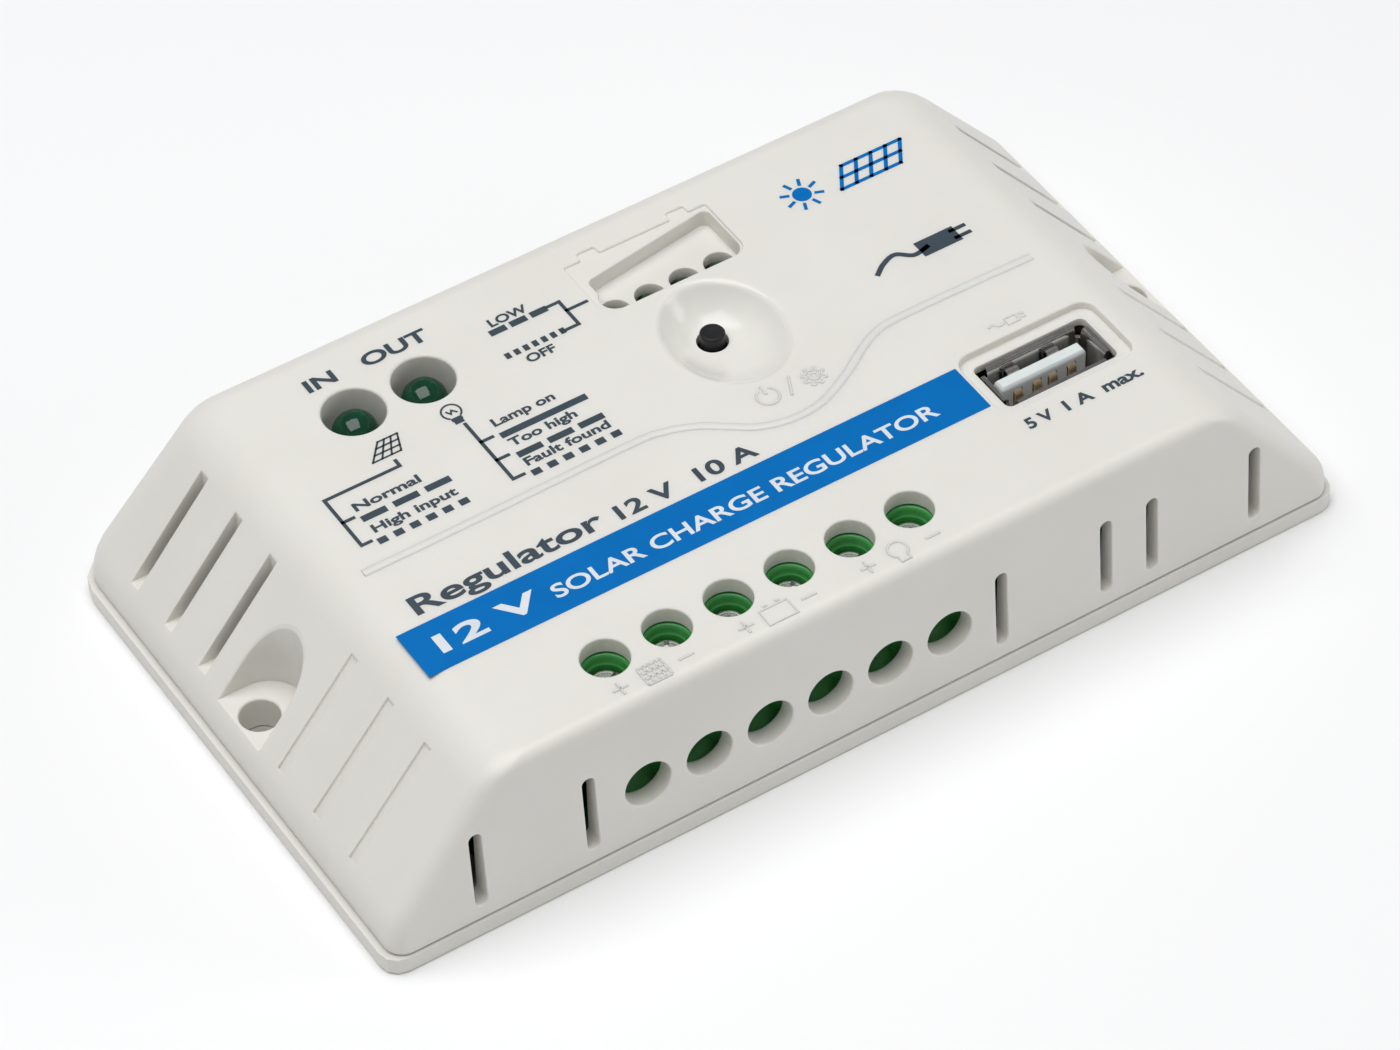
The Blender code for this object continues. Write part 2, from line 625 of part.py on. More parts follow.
def cover_holes():
    """Screw, wire and LED holes, the front vents and the pilot holes of the case screws."""
    down, across = bmesh.new(), bmesh.new()
    top = BODY_HEIGHT + CUT_PAST
    for x in pole_x():
        turned(down, [(SCREW_HOLE / 2, CEILING - CUT_PAST), (SCREW_HOLE / 2, top)], (x, TERMINAL_Y))
        outline = circle(WIRE_HOLE / 2, (x, WIRE_HOLE_Z))
        along_y(across, outline, FRONT - CUT_PAST, INNER_FRONT + CUT_PAST)
    for x in STATUS_LEDS.values():
        profile = [(STATUS_LED_HOLE / 2, CEILING - CUT_PAST), (STATUS_LED_HOLE / 2, top)]
        turned(down, profile, (x, BACK - STATUS_LED_Y))
    for x in vent_x():
        outline = stadium(x, VENT_WIDTH, VENT_LOW, VENT_HIGH)
        along_y(across, outline, FRONT - CUT_PAST, INNER_FRONT + CUT_PAST)
    for x, y in boss_places():
        pilot = SCREW_SHANK / 2 + CLEARANCE
        deep = SCREW_SINK + SCREW_HEAD_HEIGHT + SCREW_LENGTH + CLEARANCE
        turned(down, [(pilot, COVER_FOOT - CUT_PAST), (pilot, deep)], (x, y), SMALL_STEPS)
    return cutter("round_holes", down), cutter("front_holes", across)


def boss_places():
    return [(x, y) for x in (-BOSS_X, BOSS_X) for y in (-BOSS_Y, BOSS_Y)]


def usb_cuts():
    wide, deep = bmesh.new(), bmesh.new()
    top = BODY_HEIGHT + CUT_PAST
    prism(wide, rectangle(USB_PLACE, USB_RECESS, USB_RECESS_CORNER), BODY_HEIGHT - USB_RECESS_DEPTH, top)
    prism(deep, rectangle(USB_PLACE, USB_OPENING, USB_OPENING_CORNER), CEILING - CUT_PAST, top)
    return cutter("usb_recess", wide), cutter("usb_opening", deep)


def make_top_cover():
    bm = bmesh.new()
    loft(bm, [cover_ring(z) for z in cover_levels()])
    cover = finish("top_cover", bm, "housing")
    combine(cover, cavity())
    tools = [dish(), *gauge(), *end_vents(), *mount_recesses(), *cover_holes(), *usb_cuts()]
    for tool in tools:
        combine(cover, tool)
    return cover


def base_ring(z, inset):
    corners = [(-1, FRONT + inset), (1, FRONT + inset), (1, BACK - inset), (-1, BACK - inset)]
    half = BODY_LENGTH / 2 - inset
    rounds = [FRONT_CORNER - inset] * 2 + [BACK_CORNER - inset] * 2
    return [(x, y, z) for x, y in rounded([(side * half, y) for side, y in corners], rounds)]


def make_bottom_cover():
    bm = bmesh.new()
    loft(bm, [base_ring(0, RIM_CHAMFER), base_ring(RIM_CHAMFER, 0), base_ring(RIM_HEIGHT, 0)])
    cover = finish("bottom_cover", bm, "housing_base")
    combine(cover, base_lip(), "UNION")
    combine(cover, base_posts(), "UNION")
    holes = bmesh.new()
    for side in (-1, 1):
        mount = (side * MOUNT_X, 0)
        turned(holes, [(MOUNT_HOLE / 2, z) for z in (-CUT_PAST, RIM_HEIGHT + CUT_PAST)], mount)
    head = SCREW_HEAD / 2 + CLEARANCE
    shank = SCREW_SHANK / 2 + CLEARANCE
    ledge = SCREW_SINK + SCREW_HEAD_HEIGHT + CLEARANCE
    steps = [(head, -CUT_PAST), (head, ledge), (shank, ledge), (shank, RIM_HEIGHT + CUT_PAST)]
    for place in boss_places():
        turned(holes, steps, place, SMALL_STEPS)
    pilot = BOARD_SCREW_SHANK / 2 + CLEARANCE
    for place in board_screw_places():
        turned(holes, [(pilot, CLEARANCE * 2), (pilot, BOARD_BOTTOM)], place, SMALL_STEPS)
    combine(cover, cutter("base_holes", holes))
    return cover


def base_lip():
    """Locating lip that stands inside the top cover, left out around its bosses and recess walls."""
    low, high = RIM_HEIGHT - CUT_PAST, RIM_HEIGHT + LIP_HEIGHT
    size = (2 * (END_HALF - WALL - CLEARANCE), INNER_BACK - INNER_FRONT - 2 * CLEARANCE)
    inner = (size[0] - 2 * LIP_THICKNESS, size[1] - 2 * LIP_THICKNESS)
    bm = bmesh.new()
    prism(bm, rectangle((0, 0), size), low, high)
    lip = cutter("base_lip", bm)
    bm = bmesh.new()
    prism(bm, rectangle((0, 0), inner), low - CUT_PAST, high + CUT_PAST)
    combine(lip, cutter("base_lip_inside", bm))
    bm = bmesh.new()
    room = CLEARANCE + CUT_PAST
    for side in (-1, 1):
        ends = sorted((side * (BOSS_X - BOSS_DIAMETER / 2 - room), side * BODY_LENGTH))
        for front in (-1, 1):
            sides = sorted((front * (BOSS_Y - BOSS_DIAMETER / 2 - room), front * BODY_DEPTH))
            box(bm, (ends[0], sides[0], low - CUT_PAST), (ends[1], sides[1], high + CUT_PAST))
        half = RECESS_WIDTH / 2 + RECESS_WALL + room
        box(bm, (ends[0], -half, low - CUT_PAST), (ends[1], half, high + CUT_PAST))
    combine(lip, cutter("base_lip_gaps", bm))
    return lip


def base_posts():
    bm = bmesh.new()
    span = (RIM_HEIGHT - CUT_PAST, BOARD_BOTTOM - CLEARANCE)
    for x, y in board_screw_places():
        for side in (-1, 1):
            turned(bm, [(POST_DIAMETER / 2, z) for z in span], (x, side * y), SMALL_STEPS)
    return cutter("base_posts", bm)


def make_case_screws():
    top = SCREW_SINK + SCREW_HEAD_HEIGHT
    for i, (x, y) in enumerate(boss_places()):
        head, shank = SCREW_HEAD / 2, SCREW_SHANK / 2
        end = top + SCREW_LENGTH
        profile = [(head * HEAD_ROUNDING, SCREW_SINK), (head, SCREW_SINK + SCREW_HEAD_HEIGHT / 3)]
        profile += [(head, top), (shank, top), (shank, end - shank), (shank * TIP_TAPER, end)]
        bm = bmesh.new()
        turned(bm, profile, steps=SMALL_STEPS)
        screw = finish(f"case_screw_{i + 1}", bm, "zinc", (x, y, 0))
        combine(screw, cross_slot(f"case_screw_slot_{i + 1}", (x, y), SCREW_SINK, -1, SCREW_HEAD))


def cross_slot(name, place, face, way, head):
    """Cutter for a cross slot sunk into a screw head's face; way is -1 where the face looks down."""
    arm, width, depth = (head * share for share in SLOT_SHARES)
    ends = sorted((face + way * CUT_PAST, face - way * depth))
    bm = bmesh.new()
    half, thin = arm / 2, width / 2
    outline = [(thin, -half), (thin, -thin), (half, -thin), (half, thin), (thin, thin), (thin, half)]
    outline += [(-x, -y) for x, y in outline]
    prism(bm, [(place[0] + x, place[1] + y) for x, y in outline], *ends)
    return cutter(name, bm)


# Circuit board


def board_screw_places():
    x, y = BOARD_HALF - BOARD_SCREW_INSET[0], BOARD_SIDE - BOARD_SCREW_INSET[1]
    return [(-x, y), (x, y)]


def make_board():
    bm = bmesh.new()
    prism(bm, rectangle((0, 0), (2 * BOARD_HALF, 2 * BOARD_SIDE)), BOARD_BOTTOM, BOARD_TOP)
    board = finish("circuit_board", bm, "board")
    holes = bmesh.new()
    past = (BOARD_BOTTOM - CUT_PAST, BOARD_TOP + CUT_PAST)
    tail = (TAIL_WIDTH + 2 * CLEARANCE, BAR_THICKNESS + 2 * CLEARANCE)
    for x in pole_x():
        block(holes, (x, tail_y()), tail, *past)
    for place in board_screw_places():
        turned(holes, [(BOARD_SCREW_SHANK / 2 + CLEARANCE, z) for z in past], place, SMALL_STEPS)
    combine(board, cutter("board_holes", holes))
    return board


def make_board_screws():
    for i, (x, y) in enumerate(board_screw_places()):
        head, shank = BOARD_SCREW_HEAD / 2, BOARD_SCREW_SHANK / 2
        top = SEAT + BOARD_SCREW_HEAD_HEIGHT
        profile = [(shank, 3 * CLEARANCE), (shank, SEAT), (head, SEAT)]
        profile += [(head, top - BOARD_SCREW_HEAD_HEIGHT / 3), (head * HEAD_ROUNDING, top)]
        bm = bmesh.new()
        turned(bm, profile, steps=SMALL_STEPS)
        screw = finish(f"board_screw_{i + 1}", bm, "zinc", (x, y, 0))
        combine(screw, cross_slot(f"board_screw_slot_{i + 1}", (x, y), top, 1, BOARD_SCREW_HEAD))


# Screw terminals


def tail_y():
    """Centre of a contact's upright leg, at the back of its chamber."""
    return TERMINAL_Y + CHAMBER_BEHIND - CLEARANCE - BAR_THICKNESS / 2


def make_terminal_blocks():
    places = pole_x()
    for n, name in enumerate(BLOCK_NAMES):
        poles = places[n * POLES_PER_BLOCK : (n + 1) * POLES_PER_BLOCK]
        width = POLE_PITCH * POLES_PER_BLOCK - CLEARANCE
        middle = sum(poles) / len(poles)
        bm = bmesh.new()
        box(bm, (middle - width / 2, BLOCK_FRONT, SEAT), (middle + width / 2, BLOCK_BACK, BLOCK_TOP))
        terminal = finish(f"terminal_block_{name}", bm, "terminal_green")
        for tool in terminal_cuts(name, poles):
            combine(terminal, tool)


def terminal_cuts(name, poles):
    bores, chambers, funnels = bmesh.new(), bmesh.new(), bmesh.new()
    bore, shank = BLOCK_BORE / 2, THREAD_DIAMETER / 2 + CLEARANCE
    ledge = HEAD_BOTTOM - CLEARANCE
    steps = [(shank, CHAMBER_TOP - CUT_PAST), (shank, ledge), (bore, ledge), (bore, BLOCK_TOP - BLOCK_LIP)]
    steps += [(bore + BLOCK_LIP, BLOCK_TOP), (bore + BLOCK_LIP, BLOCK_TOP + CUT_PAST)]
    depth = TERMINAL_Y - CHAMBER_AHEAD - BLOCK_FRONT
    for x in poles:
        turned(bores, steps, (x, TERMINAL_Y), SMALL_STEPS)
        half = CHAMBER_WIDTH / 2
        low = (x - half, TERMINAL_Y - CHAMBER_AHEAD, SEAT - CUT_PAST)
        box(chambers, low, (x + half, TERMINAL_Y + CHAMBER_BEHIND, CHAMBER_TOP))
        taper = (FUNNEL_MOUTH - FUNNEL_THROAT) / 2 / depth * CUT_PAST
        mouth = circle(FUNNEL_MOUTH / 2 + taper, (x, WIRE_HOLE_Z), SMALL_STEPS)
        throat = circle(FUNNEL_THROAT / 2 - taper, (x, WIRE_HOLE_Z), SMALL_STEPS)
        rows = [(throat, BLOCK_FRONT + depth + CUT_PAST), (mouth, BLOCK_FRONT - CUT_PAST)]
        loft(funnels, [[(a, y, z) for a, z in ring] for ring, y in rows])
    parts = {"bores": bores, "chambers": chambers, "funnels": funnels}
    return [cutter(f"{name}_{part}", bm) for part, bm in parts.items()]


def make_terminal_screws():
    head, shank = HEAD_DIAMETER / 2, THREAD_DIAMETER / 2
    tip = BAR_TOP + 2 * CLEARANCE
    for i, x in enumerate(pole_x()):
        profile = [(shank * TIP_TAPER, tip), (shank, tip + shank / 3), (shank, HEAD_BOTTOM)]
        profile += [(head, HEAD_BOTTOM), (head, HEAD_TOP - HEAD_HEIGHT / 4), (head * HEAD_ROUNDING, HEAD_TOP)]
        bm = bmesh.new()
        turned(bm, profile, steps=SMALL_STEPS)
        screw = finish(f"terminal_screw_{i + 1}", bm, "plated_steel", (x, TERMINAL_Y, 0))
        combine(screw, cross_slot(f"terminal_slot_{i + 1}", (x, TERMINAL_Y), HEAD_TOP, 1, HEAD_DIAMETER))


def make_terminal_cages():
    """Rising clamps: each is a square loop that the screw draws up against the contact bar."""
    half, side = CAGE_WIDTH / 2, CAGE_SIDE
    low = CAGE_FLOOR_TOP - CAGE_FLOOR
    plate = BAR_TOP + CLEARANCE
    high = plate + CAGE_TOP
    for i, x in enumerate(pole_x()):
        bm = bmesh.new()
        box(bm, (-half, -CAGE_DEPTH / 2, low), (half, CAGE_DEPTH / 2, high))
        cage = finish(f"terminal_cage_{i + 1}", bm, "plated_steel", (x, TERMINAL_Y, 0))
        window, bore = bmesh.new(), bmesh.new()
        reach = CAGE_DEPTH / 2 + CUT_PAST
        box(
            window,
            (x - half + side, TERMINAL_Y - reach, CAGE_FLOOR_TOP),
            (x + half - side, TERMINAL_Y + reach, plate),
        )
        turned(
            bore,
            [(THREAD_DIAMETER / 2 + CLEARANCE, z) for z in (plate - CLEARANCE, high + CUT_PAST)],
            (x, TERMINAL_Y),
            SMALL_STEPS,
        )
        combine(cage, cutter(f"cage_window_{i + 1}", window))
        combine(cage, cutter(f"cage_bore_{i + 1}", bore))


def make_terminal_contacts():
    """Fixed contact bars, each bent down at the back into a solder tail."""
    front = TERMINAL_Y - CAGE_DEPTH / 2
    leg_front = tail_y() - BAR_THICKNESS / 2
    leg_back = tail_y() + BAR_THICKNESS / 2
    for i, x in enumerate(pole_x()):
        bm = bmesh.new()
        outline = [(front, BAR_BOTTOM), (leg_front, BAR_BOTTOM), (leg_front, SEAT + CLEARANCE)]
        outline += [(leg_back, SEAT + CLEARANCE), (leg_back, BAR_TOP), (front, BAR_TOP)]
        half = BAR_WIDTH / 2
        loft(bm, [[(a, y - TERMINAL_Y, z) for y, z in outline] for a in (-half, half)])
        contact = finish(f"terminal_contact_{i + 1}", bm, "tinned_copper", (x, TERMINAL_Y, 0))
        bm = bmesh.new()
        tail = (TAIL_WIDTH, BAR_THICKNESS - CLEARANCE)
        block(bm, (x, tail_y()), tail, BOARD_BOTTOM - TAIL_LENGTH, SEAT + CLEARANCE + BAR_THICKNESS)
        combine(contact, cutter(f"contact_tail_{i + 1}", bm), "UNION")


# USB socket


def make_usb():
    top = BODY_HEIGHT - USB_SHELL_SINK
    inner = (USB_SHELL[0] - 2 * USB_SHELL_WALL, USB_SHELL[1] - 2 * USB_SHELL_WALL)
    bm = bmesh.new()
    prism(bm, rectangle(USB_PLACE, USB_SHELL, USB_SHELL_WALL), SEAT, top)
    shell = finish("usb_shell", bm, "plated_steel")
    bm = bmesh.new()
    prism(bm, rectangle(USB_PLACE, inner), SEAT - CUT_PAST, top + CUT_PAST)
    combine(shell, cutter("usb_shell_inside", bm))

    base = (inner[0] - 2 * CLEARANCE, inner[1] - 2 * CLEARANCE)
    bm = bmesh.new()
    block(bm, USB_PLACE, base, SEAT, SEAT + USB_INSULATOR_BASE)
    insulator = finish("usb_insulator", bm, "socket_white")
    tip = BODY_HEIGHT - TONGUE_SINK
    half, thin = TONGUE[0] / 2, TONGUE_TAPER
    bm = bmesh.new()
    low = SEAT + USB_INSULATOR_BASE - CUT_PAST
    rings = []
    for z, inset in ((low, 0.0), (tip - thin, 0.0), (tip, thin)):
        size = (2 * (half - inset), TONGUE[1] - 2 * inset)
        middle = (USB_PLACE[0], (TONGUE_FACE + TONGUE_BACK) / 2)
        rings.append([(x, y, z) for x, y in rectangle(middle, size)])
    loft(bm, rings)
    combine(insulator, cutter("usb_tongue", bm), "UNION")
    bm = bmesh.new()
    groove = (USB_CONTACT_WIDTH + 2 * CLEARANCE, USB_CONTACT_THICKNESS + 2 * CLEARANCE)
    for x in USB_CONTACT_X:
        centre = (USB_PLACE[0] + x, TONGUE_FACE - CLEARANCE + groove[1] / 2)
        block(bm, centre, groove, SEAT - CUT_PAST, tip - USB_CONTACT_SINK + CLEARANCE)
    combine(insulator, cutter("usb_grooves", bm))

    for i, x in enumerate(USB_CONTACT_X):
        bm = bmesh.new()
        strip = (USB_CONTACT_WIDTH, USB_CONTACT_THICKNESS)
        place = (USB_PLACE[0] + x, TONGUE_FACE + USB_CONTACT_THICKNESS / 2)
        block(bm, (0, 0), strip, SEAT, tip - USB_CONTACT_SINK)
        finish(f"usb_contact_{i + 1}", bm, "gold", (*place, 0))


# Push button


def make_button():
    """A long plunger whose foot is held in a square tactile switch by its sheet-metal frame."""
    place = (*BUTTON_PLACE, 0)
    radius, foot = BUTTON_DIAMETER / 2, PLUNGER_FOOT[0] / 2
    low = SWITCH_TOP - PLUNGER_FOOT[1]
    top = BODY_HEIGHT - BUTTON_SINK
    profile = [(foot, low), (foot, SWITCH_TOP), (radius, SWITCH_TOP)]
    profile += [(radius, top - BUTTON_CHAMFER), (radius - BUTTON_CHAMFER, top)]
    bm = bmesh.new()
    turned(bm, profile)
    finish("button", bm, "black_plastic", place)

    bm = bmesh.new()
    block(bm, BUTTON_PLACE, (SWITCH_SIDE, SWITCH_SIDE), SEAT, SWITCH_TOP)
    base = finish("switch_base", bm, "black_plastic")
    pocket = foot + CLEARANCE
    bm = bmesh.new()
    turned(bm, [(pocket, low - BUTTON_TRAVEL - CLEARANCE), (pocket, SWITCH_TOP + CUT_PAST)], BUTTON_PLACE)
    combine(base, cutter("switch_pocket", bm))

    plate = SWITCH_TOP + CLEARANCE
    half = SWITCH_SIDE / 2 + CLEARANCE
    out = half + SWITCH_FRAME
    leg = SEAT + SWITCH_HEIGHT / 3
    outline = [(-out, leg), (-half, leg), (-half, plate), (half, plate), (half, leg), (out, leg)]
    outline += [(out, plate + SWITCH_FRAME), (-out, plate + SWITCH_FRAME)]
    bm = bmesh.new()
    along_y(bm, outline, -SWITCH_SIDE / 2, SWITCH_SIDE / 2)
    frame = finish("switch_frame", bm, "plated_steel", place)
    hole = radius + CLEARANCE
    bm = bmesh.new()
    turned(bm, [(hole, plate - CUT_PAST), (hole, plate + CUT_PAST)], BUTTON_PLACE)
    combine(frame, cutter("switch_frame_hole", bm))


# LEDs


def led(name, place, sizes, leads, dome_top):
    """A round LED with its flange below and two leads that reach down to the board."""
    diameter, flange, height = sizes
    radius = diameter / 2
    low = dome_top - height
    shoulder = dome_top - radius
    profile = [(flange / 2, low), (flange / 2, low + FLANGE_HEIGHT), (radius, low + FLANGE_HEIGHT)]
    steps = BLEND_STEPS + 1
    for i in range(steps):
        angle = math.pi / 2 * i / steps
        profile.append((radius * math.cos(angle), shoulder + radius * math.sin(angle)))
    profile.append((radius * math.cos(math.pi / 2 * (steps - 0.5) / steps), dome_top))
    bm = bmesh.new()
    turned(bm, profile, steps=SMALL_STEPS)
    body = finish(name, bm, "led_green", (*place, 0))
    spacing, side = leads
    bm = bmesh.new()
    for way in (-1, 1):
        block(bm, (place[0] + way * spacing / 2, place[1]), (side, side), SEAT, low + FLANGE_HEIGHT / 2)
    combine(body, cutter(f"{name}_leads", bm), "UNION")
    return low


def make_status_leds():
    sizes = (STATUS_LED_DIAMETER, STATUS_LED_FLANGE, STATUS_LED_HEIGHT)
    for name, x in STATUS_LEDS.items():
        place = (x, BACK - STATUS_LED_Y)
        low = led(f"{name}_led", place, sizes, (STATUS_LEADS, STATUS_LEAD), BODY_HEIGHT - STATUS_LED_SINK)
        bm = bmesh.new()
        outer, bore = STATUS_LED_FLANGE / 2, SPACER_BORE / 2
        turned(bm, [(outer, SEAT), (outer, low - CLEARANCE)], steps=SMALL_STEPS)
        spacer = finish(f"{name}_led_spacer", bm, "spacer_white", (*place, 0))
        bm = bmesh.new()
        turned(bm, [(bore, SEAT - CUT_PAST), (bore, low + CUT_PAST)], place, SMALL_STEPS)
        combine(spacer, cutter(f"{name}_spacer_bore", bm))


def make_gauge_leds():
    sizes = (GAUGE_LED_DIAMETER, GAUGE_LED_FLANGE, GAUGE_LED_HEIGHT)
    y = BACK - GAUGE_LED_Y
    bores = bmesh.new()
    for i, x in enumerate(gauge_led_x()):
        leads = (GAUGE_LED_LEADS, GAUGE_LEAD)
        low = led(f"gauge_led_{i + 1}", (x, y), sizes, leads, POCKET_FLOOR - GAUGE_LED_SINK)
        profile = [(GAUGE_LEAD_HOLE / 2, SEAT - CUT_PAST), (GAUGE_LEAD_HOLE / 2, low)]
        turned(bores, profile, (x, y), SMALL_STEPS)
    bm = bmesh.new()
    block(bm, (GAUGE_X, y), GAUGE_HOLDER, SEAT, low - CLEARANCE)
    holder = finish("gauge_led_holder", bm, "black_plastic")
    combine(holder, cutter("gauge_holder_bores", bores))


# Board components


def make_capacitor(name, place, size):
    radius, height = size[0] / 2, size[1]
    neck = radius * CAPACITOR_NECK
    crimp = list(zip((radius, neck, neck, radius), CAPACITOR_CRIMP))
    profile = [(radius, 0), *crimp, (radius, height - CAPACITOR_EDGE), (radius - CAPACITOR_EDGE, height)]
    bm = bmesh.new()
    turned(bm, profile, steps=SMALL_STEPS)
    finish(name, bm, "capacitor_sleeve", (*place, SEAT))


def make_chip(name, place, size, height, look="black_plastic"):
    """A moulded package that draws in above and below its belt."""
    draw = height * CHIP_DRAW
    bm = bmesh.new()
    rings = []
    for share, inset in ((0, draw), (CHIP_BELT[0], 0), (CHIP_BELT[1], 0), (1, draw)):
        ring = rectangle((0, 0), (size[0] - 2 * inset, size[1] - 2 * inset))
        rings.append([(x, y, height * share) for x, y in ring])
    loft(bm, rings)
    return finish(name, bm, look, (*place, SEAT))


def make_power_transistor(name, place):
    """A surface-mount power package with its metal tab at the back."""
    made = make_chip(name, place, TRANSISTOR_BODY, TRANSISTOR_HEIGHT)
    width, length, thickness = TRANSISTOR_TAB
    reach = length + TRANSISTOR_BODY[1] / 2
    bm = bmesh.new()
    block(bm, (place[0], place[1] + reach / 2), (width, reach), SEAT, SEAT + thickness)
    combine(made, cutter(f"{name}_tab", bm), "UNION")


def make_shunt(place):
    """A bar bent into a bridge that measures the current."""
    length, width, thick, rise = SHUNT_SIZE
    foot = length / 2 - SHUNT_FOOT
    half = [(foot, 0), (length / 2, 0), (length / 2, thick), (foot + thick, thick), (foot + thick, rise)]
    mirrored = [(-x, z) for x, z in reversed(half)]
    outline = [(-foot, rise - thick), (foot, rise - thick), *half, *mirrored]
    bm = bmesh.new()
    along_y(bm, outline, -width / 2, width / 2)
    finish("current_shunt", bm, "manganin", (*place, SEAT))


def make_components():
    left, right = -BOARD_HALF, BOARD_HALF
    make_capacitor("input_capacitor", (left + CAPACITOR_INSET, INPUT_CAPACITOR_Y), INPUT_CAPACITOR)
    make_capacitor("output_capacitor", (right - CAPACITOR_INSET, OUTPUT_CAPACITOR_Y), OUTPUT_CAPACITOR)
    row_front = BLOCK_BACK + ROW_GAP
    for i in range(TRANSISTOR_COUNT):
        x = left + TRANSISTOR_INSET + TRANSISTOR_PITCH * i
        make_power_transistor(f"power_transistor_{i + 1}", (x, row_front + TRANSISTOR_BODY[1] / 2))
    diode = (x + DIODE_PITCH, row_front + DIODE_BODY[1] / 2)
    make_chip("schottky_diode", diode, DIODE_BODY, DIODE_HEIGHT)
    controller = (left + CONTROLLER_INSET, CONTROLLER_Y)
    make_chip("microcontroller", controller, CONTROLLER_BODY, CONTROLLER_HEIGHT)
    converter = (right - CONVERTER_INSET, CONVERTER_Y)
    make_chip("usb_converter", converter, CONVERTER_BODY, CONVERTER_HEIGHT)
    inductor = (right - INDUCTOR_INSET, INDUCTOR_Y)
    make_chip("usb_inductor", inductor, INDUCTOR_BODY, INDUCTOR_HEIGHT, "ferrite")
    make_shunt((left + SHUNT_INSET, SHUNT_Y))


def main():
    clear_scene()
    make_top_cover()
    make_bottom_cover()
    make_case_screws()
    make_board()
    make_board_screws()
    make_terminal_blocks()
    make_terminal_screws()
    make_terminal_cages()
    make_terminal_contacts()
    make_usb()
    make_button()
    make_status_leds()
    make_gauge_leds()
    make_components()


main()
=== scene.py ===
import math
from math import cos, pi, sin, tan

import bmesh
import bpy
from mathutils import Matrix, Vector
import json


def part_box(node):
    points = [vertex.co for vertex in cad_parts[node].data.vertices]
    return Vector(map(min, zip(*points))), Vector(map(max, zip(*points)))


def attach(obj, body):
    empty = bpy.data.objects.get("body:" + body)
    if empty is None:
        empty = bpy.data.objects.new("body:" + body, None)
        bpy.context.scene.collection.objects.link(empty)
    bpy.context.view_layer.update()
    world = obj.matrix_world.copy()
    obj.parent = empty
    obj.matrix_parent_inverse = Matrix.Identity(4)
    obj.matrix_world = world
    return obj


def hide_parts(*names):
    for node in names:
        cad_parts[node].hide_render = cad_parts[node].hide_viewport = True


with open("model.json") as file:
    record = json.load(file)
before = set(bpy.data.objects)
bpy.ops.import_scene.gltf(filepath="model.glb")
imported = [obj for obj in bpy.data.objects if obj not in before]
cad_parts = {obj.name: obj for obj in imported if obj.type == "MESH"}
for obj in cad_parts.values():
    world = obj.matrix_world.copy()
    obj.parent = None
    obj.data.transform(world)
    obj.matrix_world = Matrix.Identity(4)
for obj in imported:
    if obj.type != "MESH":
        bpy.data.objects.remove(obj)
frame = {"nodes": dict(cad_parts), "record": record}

scene = bpy.context.scene
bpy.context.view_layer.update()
print("frame loaded:", len(frame["nodes"]), "nodes")


# making meshes

def newPiece(name, bm):
    bmesh.ops.recalc_face_normals(bm, faces=bm.faces)
    mesh = bpy.data.meshes.new(name)
    bm.to_mesh(mesh)
    bm.free()
    piece = bpy.data.objects.new(name, mesh)
    scene.collection.objects.link(piece)
    return piece


def loft(bm, rings):
    rows = [[bm.verts.new(point) for point in ring] for ring in rings]
    for lower, upper in zip(rows, rows[1:]):
        for i in range(len(lower)):
            j = (i + 1) % len(lower)
            bm.faces.new((lower[i], lower[j], upper[j], upper[i]))
    bm.faces.new(rows[0][::-1])
    bm.faces.new(rows[-1])


def turned(bm, profile, centre, steps=48):
    angles = [2 * pi * i / steps for i in range(steps)]
    x, y = centre
    loft(bm, [[(x + r * cos(a), y + r * sin(a), z) for a in angles] for r, z in profile])


def slab(bm, low, high):
    (x0, y0, z0), (x1, y1, z1) = low, high
    corners = [(x0, y0), (x1, y0), (x1, y1), (x0, y1)]
    loft(bm, [[(x, y, z) for x, y in corners] for z in (z0, z1)])


def outline(corners, radii, grow=0.0, steps=6):
    # anticlockwise corners, each edge moved out by grow and each corner rounded
    points = []
    for i, corner in enumerate(corners):
        here = Vector(corner)
        inward = (here - Vector(corners[i - 1])).normalized()
        onward = (Vector(corners[(i + 1) % len(corners)]) - here).normalized()
        outA, outB = Vector((inward.y, -inward.x)), Vector((onward.y, -onward.x))
        way = 1 if inward.cross(onward) > 0 else -1
        bend = inward.angle(onward)
        radius = max(radii[i] + way * grow, 1e-6)
        here = here + (outA + outB) * (grow / (1 + outA.dot(outB)))
        centre = here - inward * radius * tan(bend / 2) - outA * radius * way
        for k in range(steps + 1):
            spoke = Matrix.Rotation(way * bend * k / steps, 2) @ (outA * way)
            points.append(tuple(centre + spoke * radius))
    return points


def rectangle(centre, size, radius, grow=0.0, steps=6):
    (x, y), w, d = centre, size[0] / 2, size[1] / 2
    corners = [(x - w, y - d), (x + w, y - d), (x + w, y + d), (x - w, y + d)]
    return outline(corners, [radius] * 4, grow, steps)


def circle(centre, radius, steps=48):
    angles = [2 * pi * i / steps for i in range(steps)]
    return [(centre[0] + radius * cos(a), centre[1] + radius * sin(a)) for a in angles]


def roundShape(centre, radius):
    return lambda grow: circle(centre, radius + grow)


def boxShape(centre, size, radius):
    return lambda grow: rectangle(centre, size, radius, grow)


def stacked(bm, shape, levels):
    # one ring for each height and the amount that the shape grows there
    loft(bm, [[(x, y, z) for x, y in shape(grow)] for z, grow in levels])


def flared(bm, shape, place, lip, deep, above=0.001):
    # a cutter whose mouth opens in a small arc, so the edge that it leaves is rounded
    rings = [(-above, lip)]
    for k in range(1, 6):
        a = pi / 2 * k / 5
        rings.append((lip * (1 - cos(a)), lip * (1 - sin(a))))
    rings.append((deep, 0.0))
    loft(bm, [[place(u, v, depth) for u, v in shape(grow)] for depth, grow in rings])


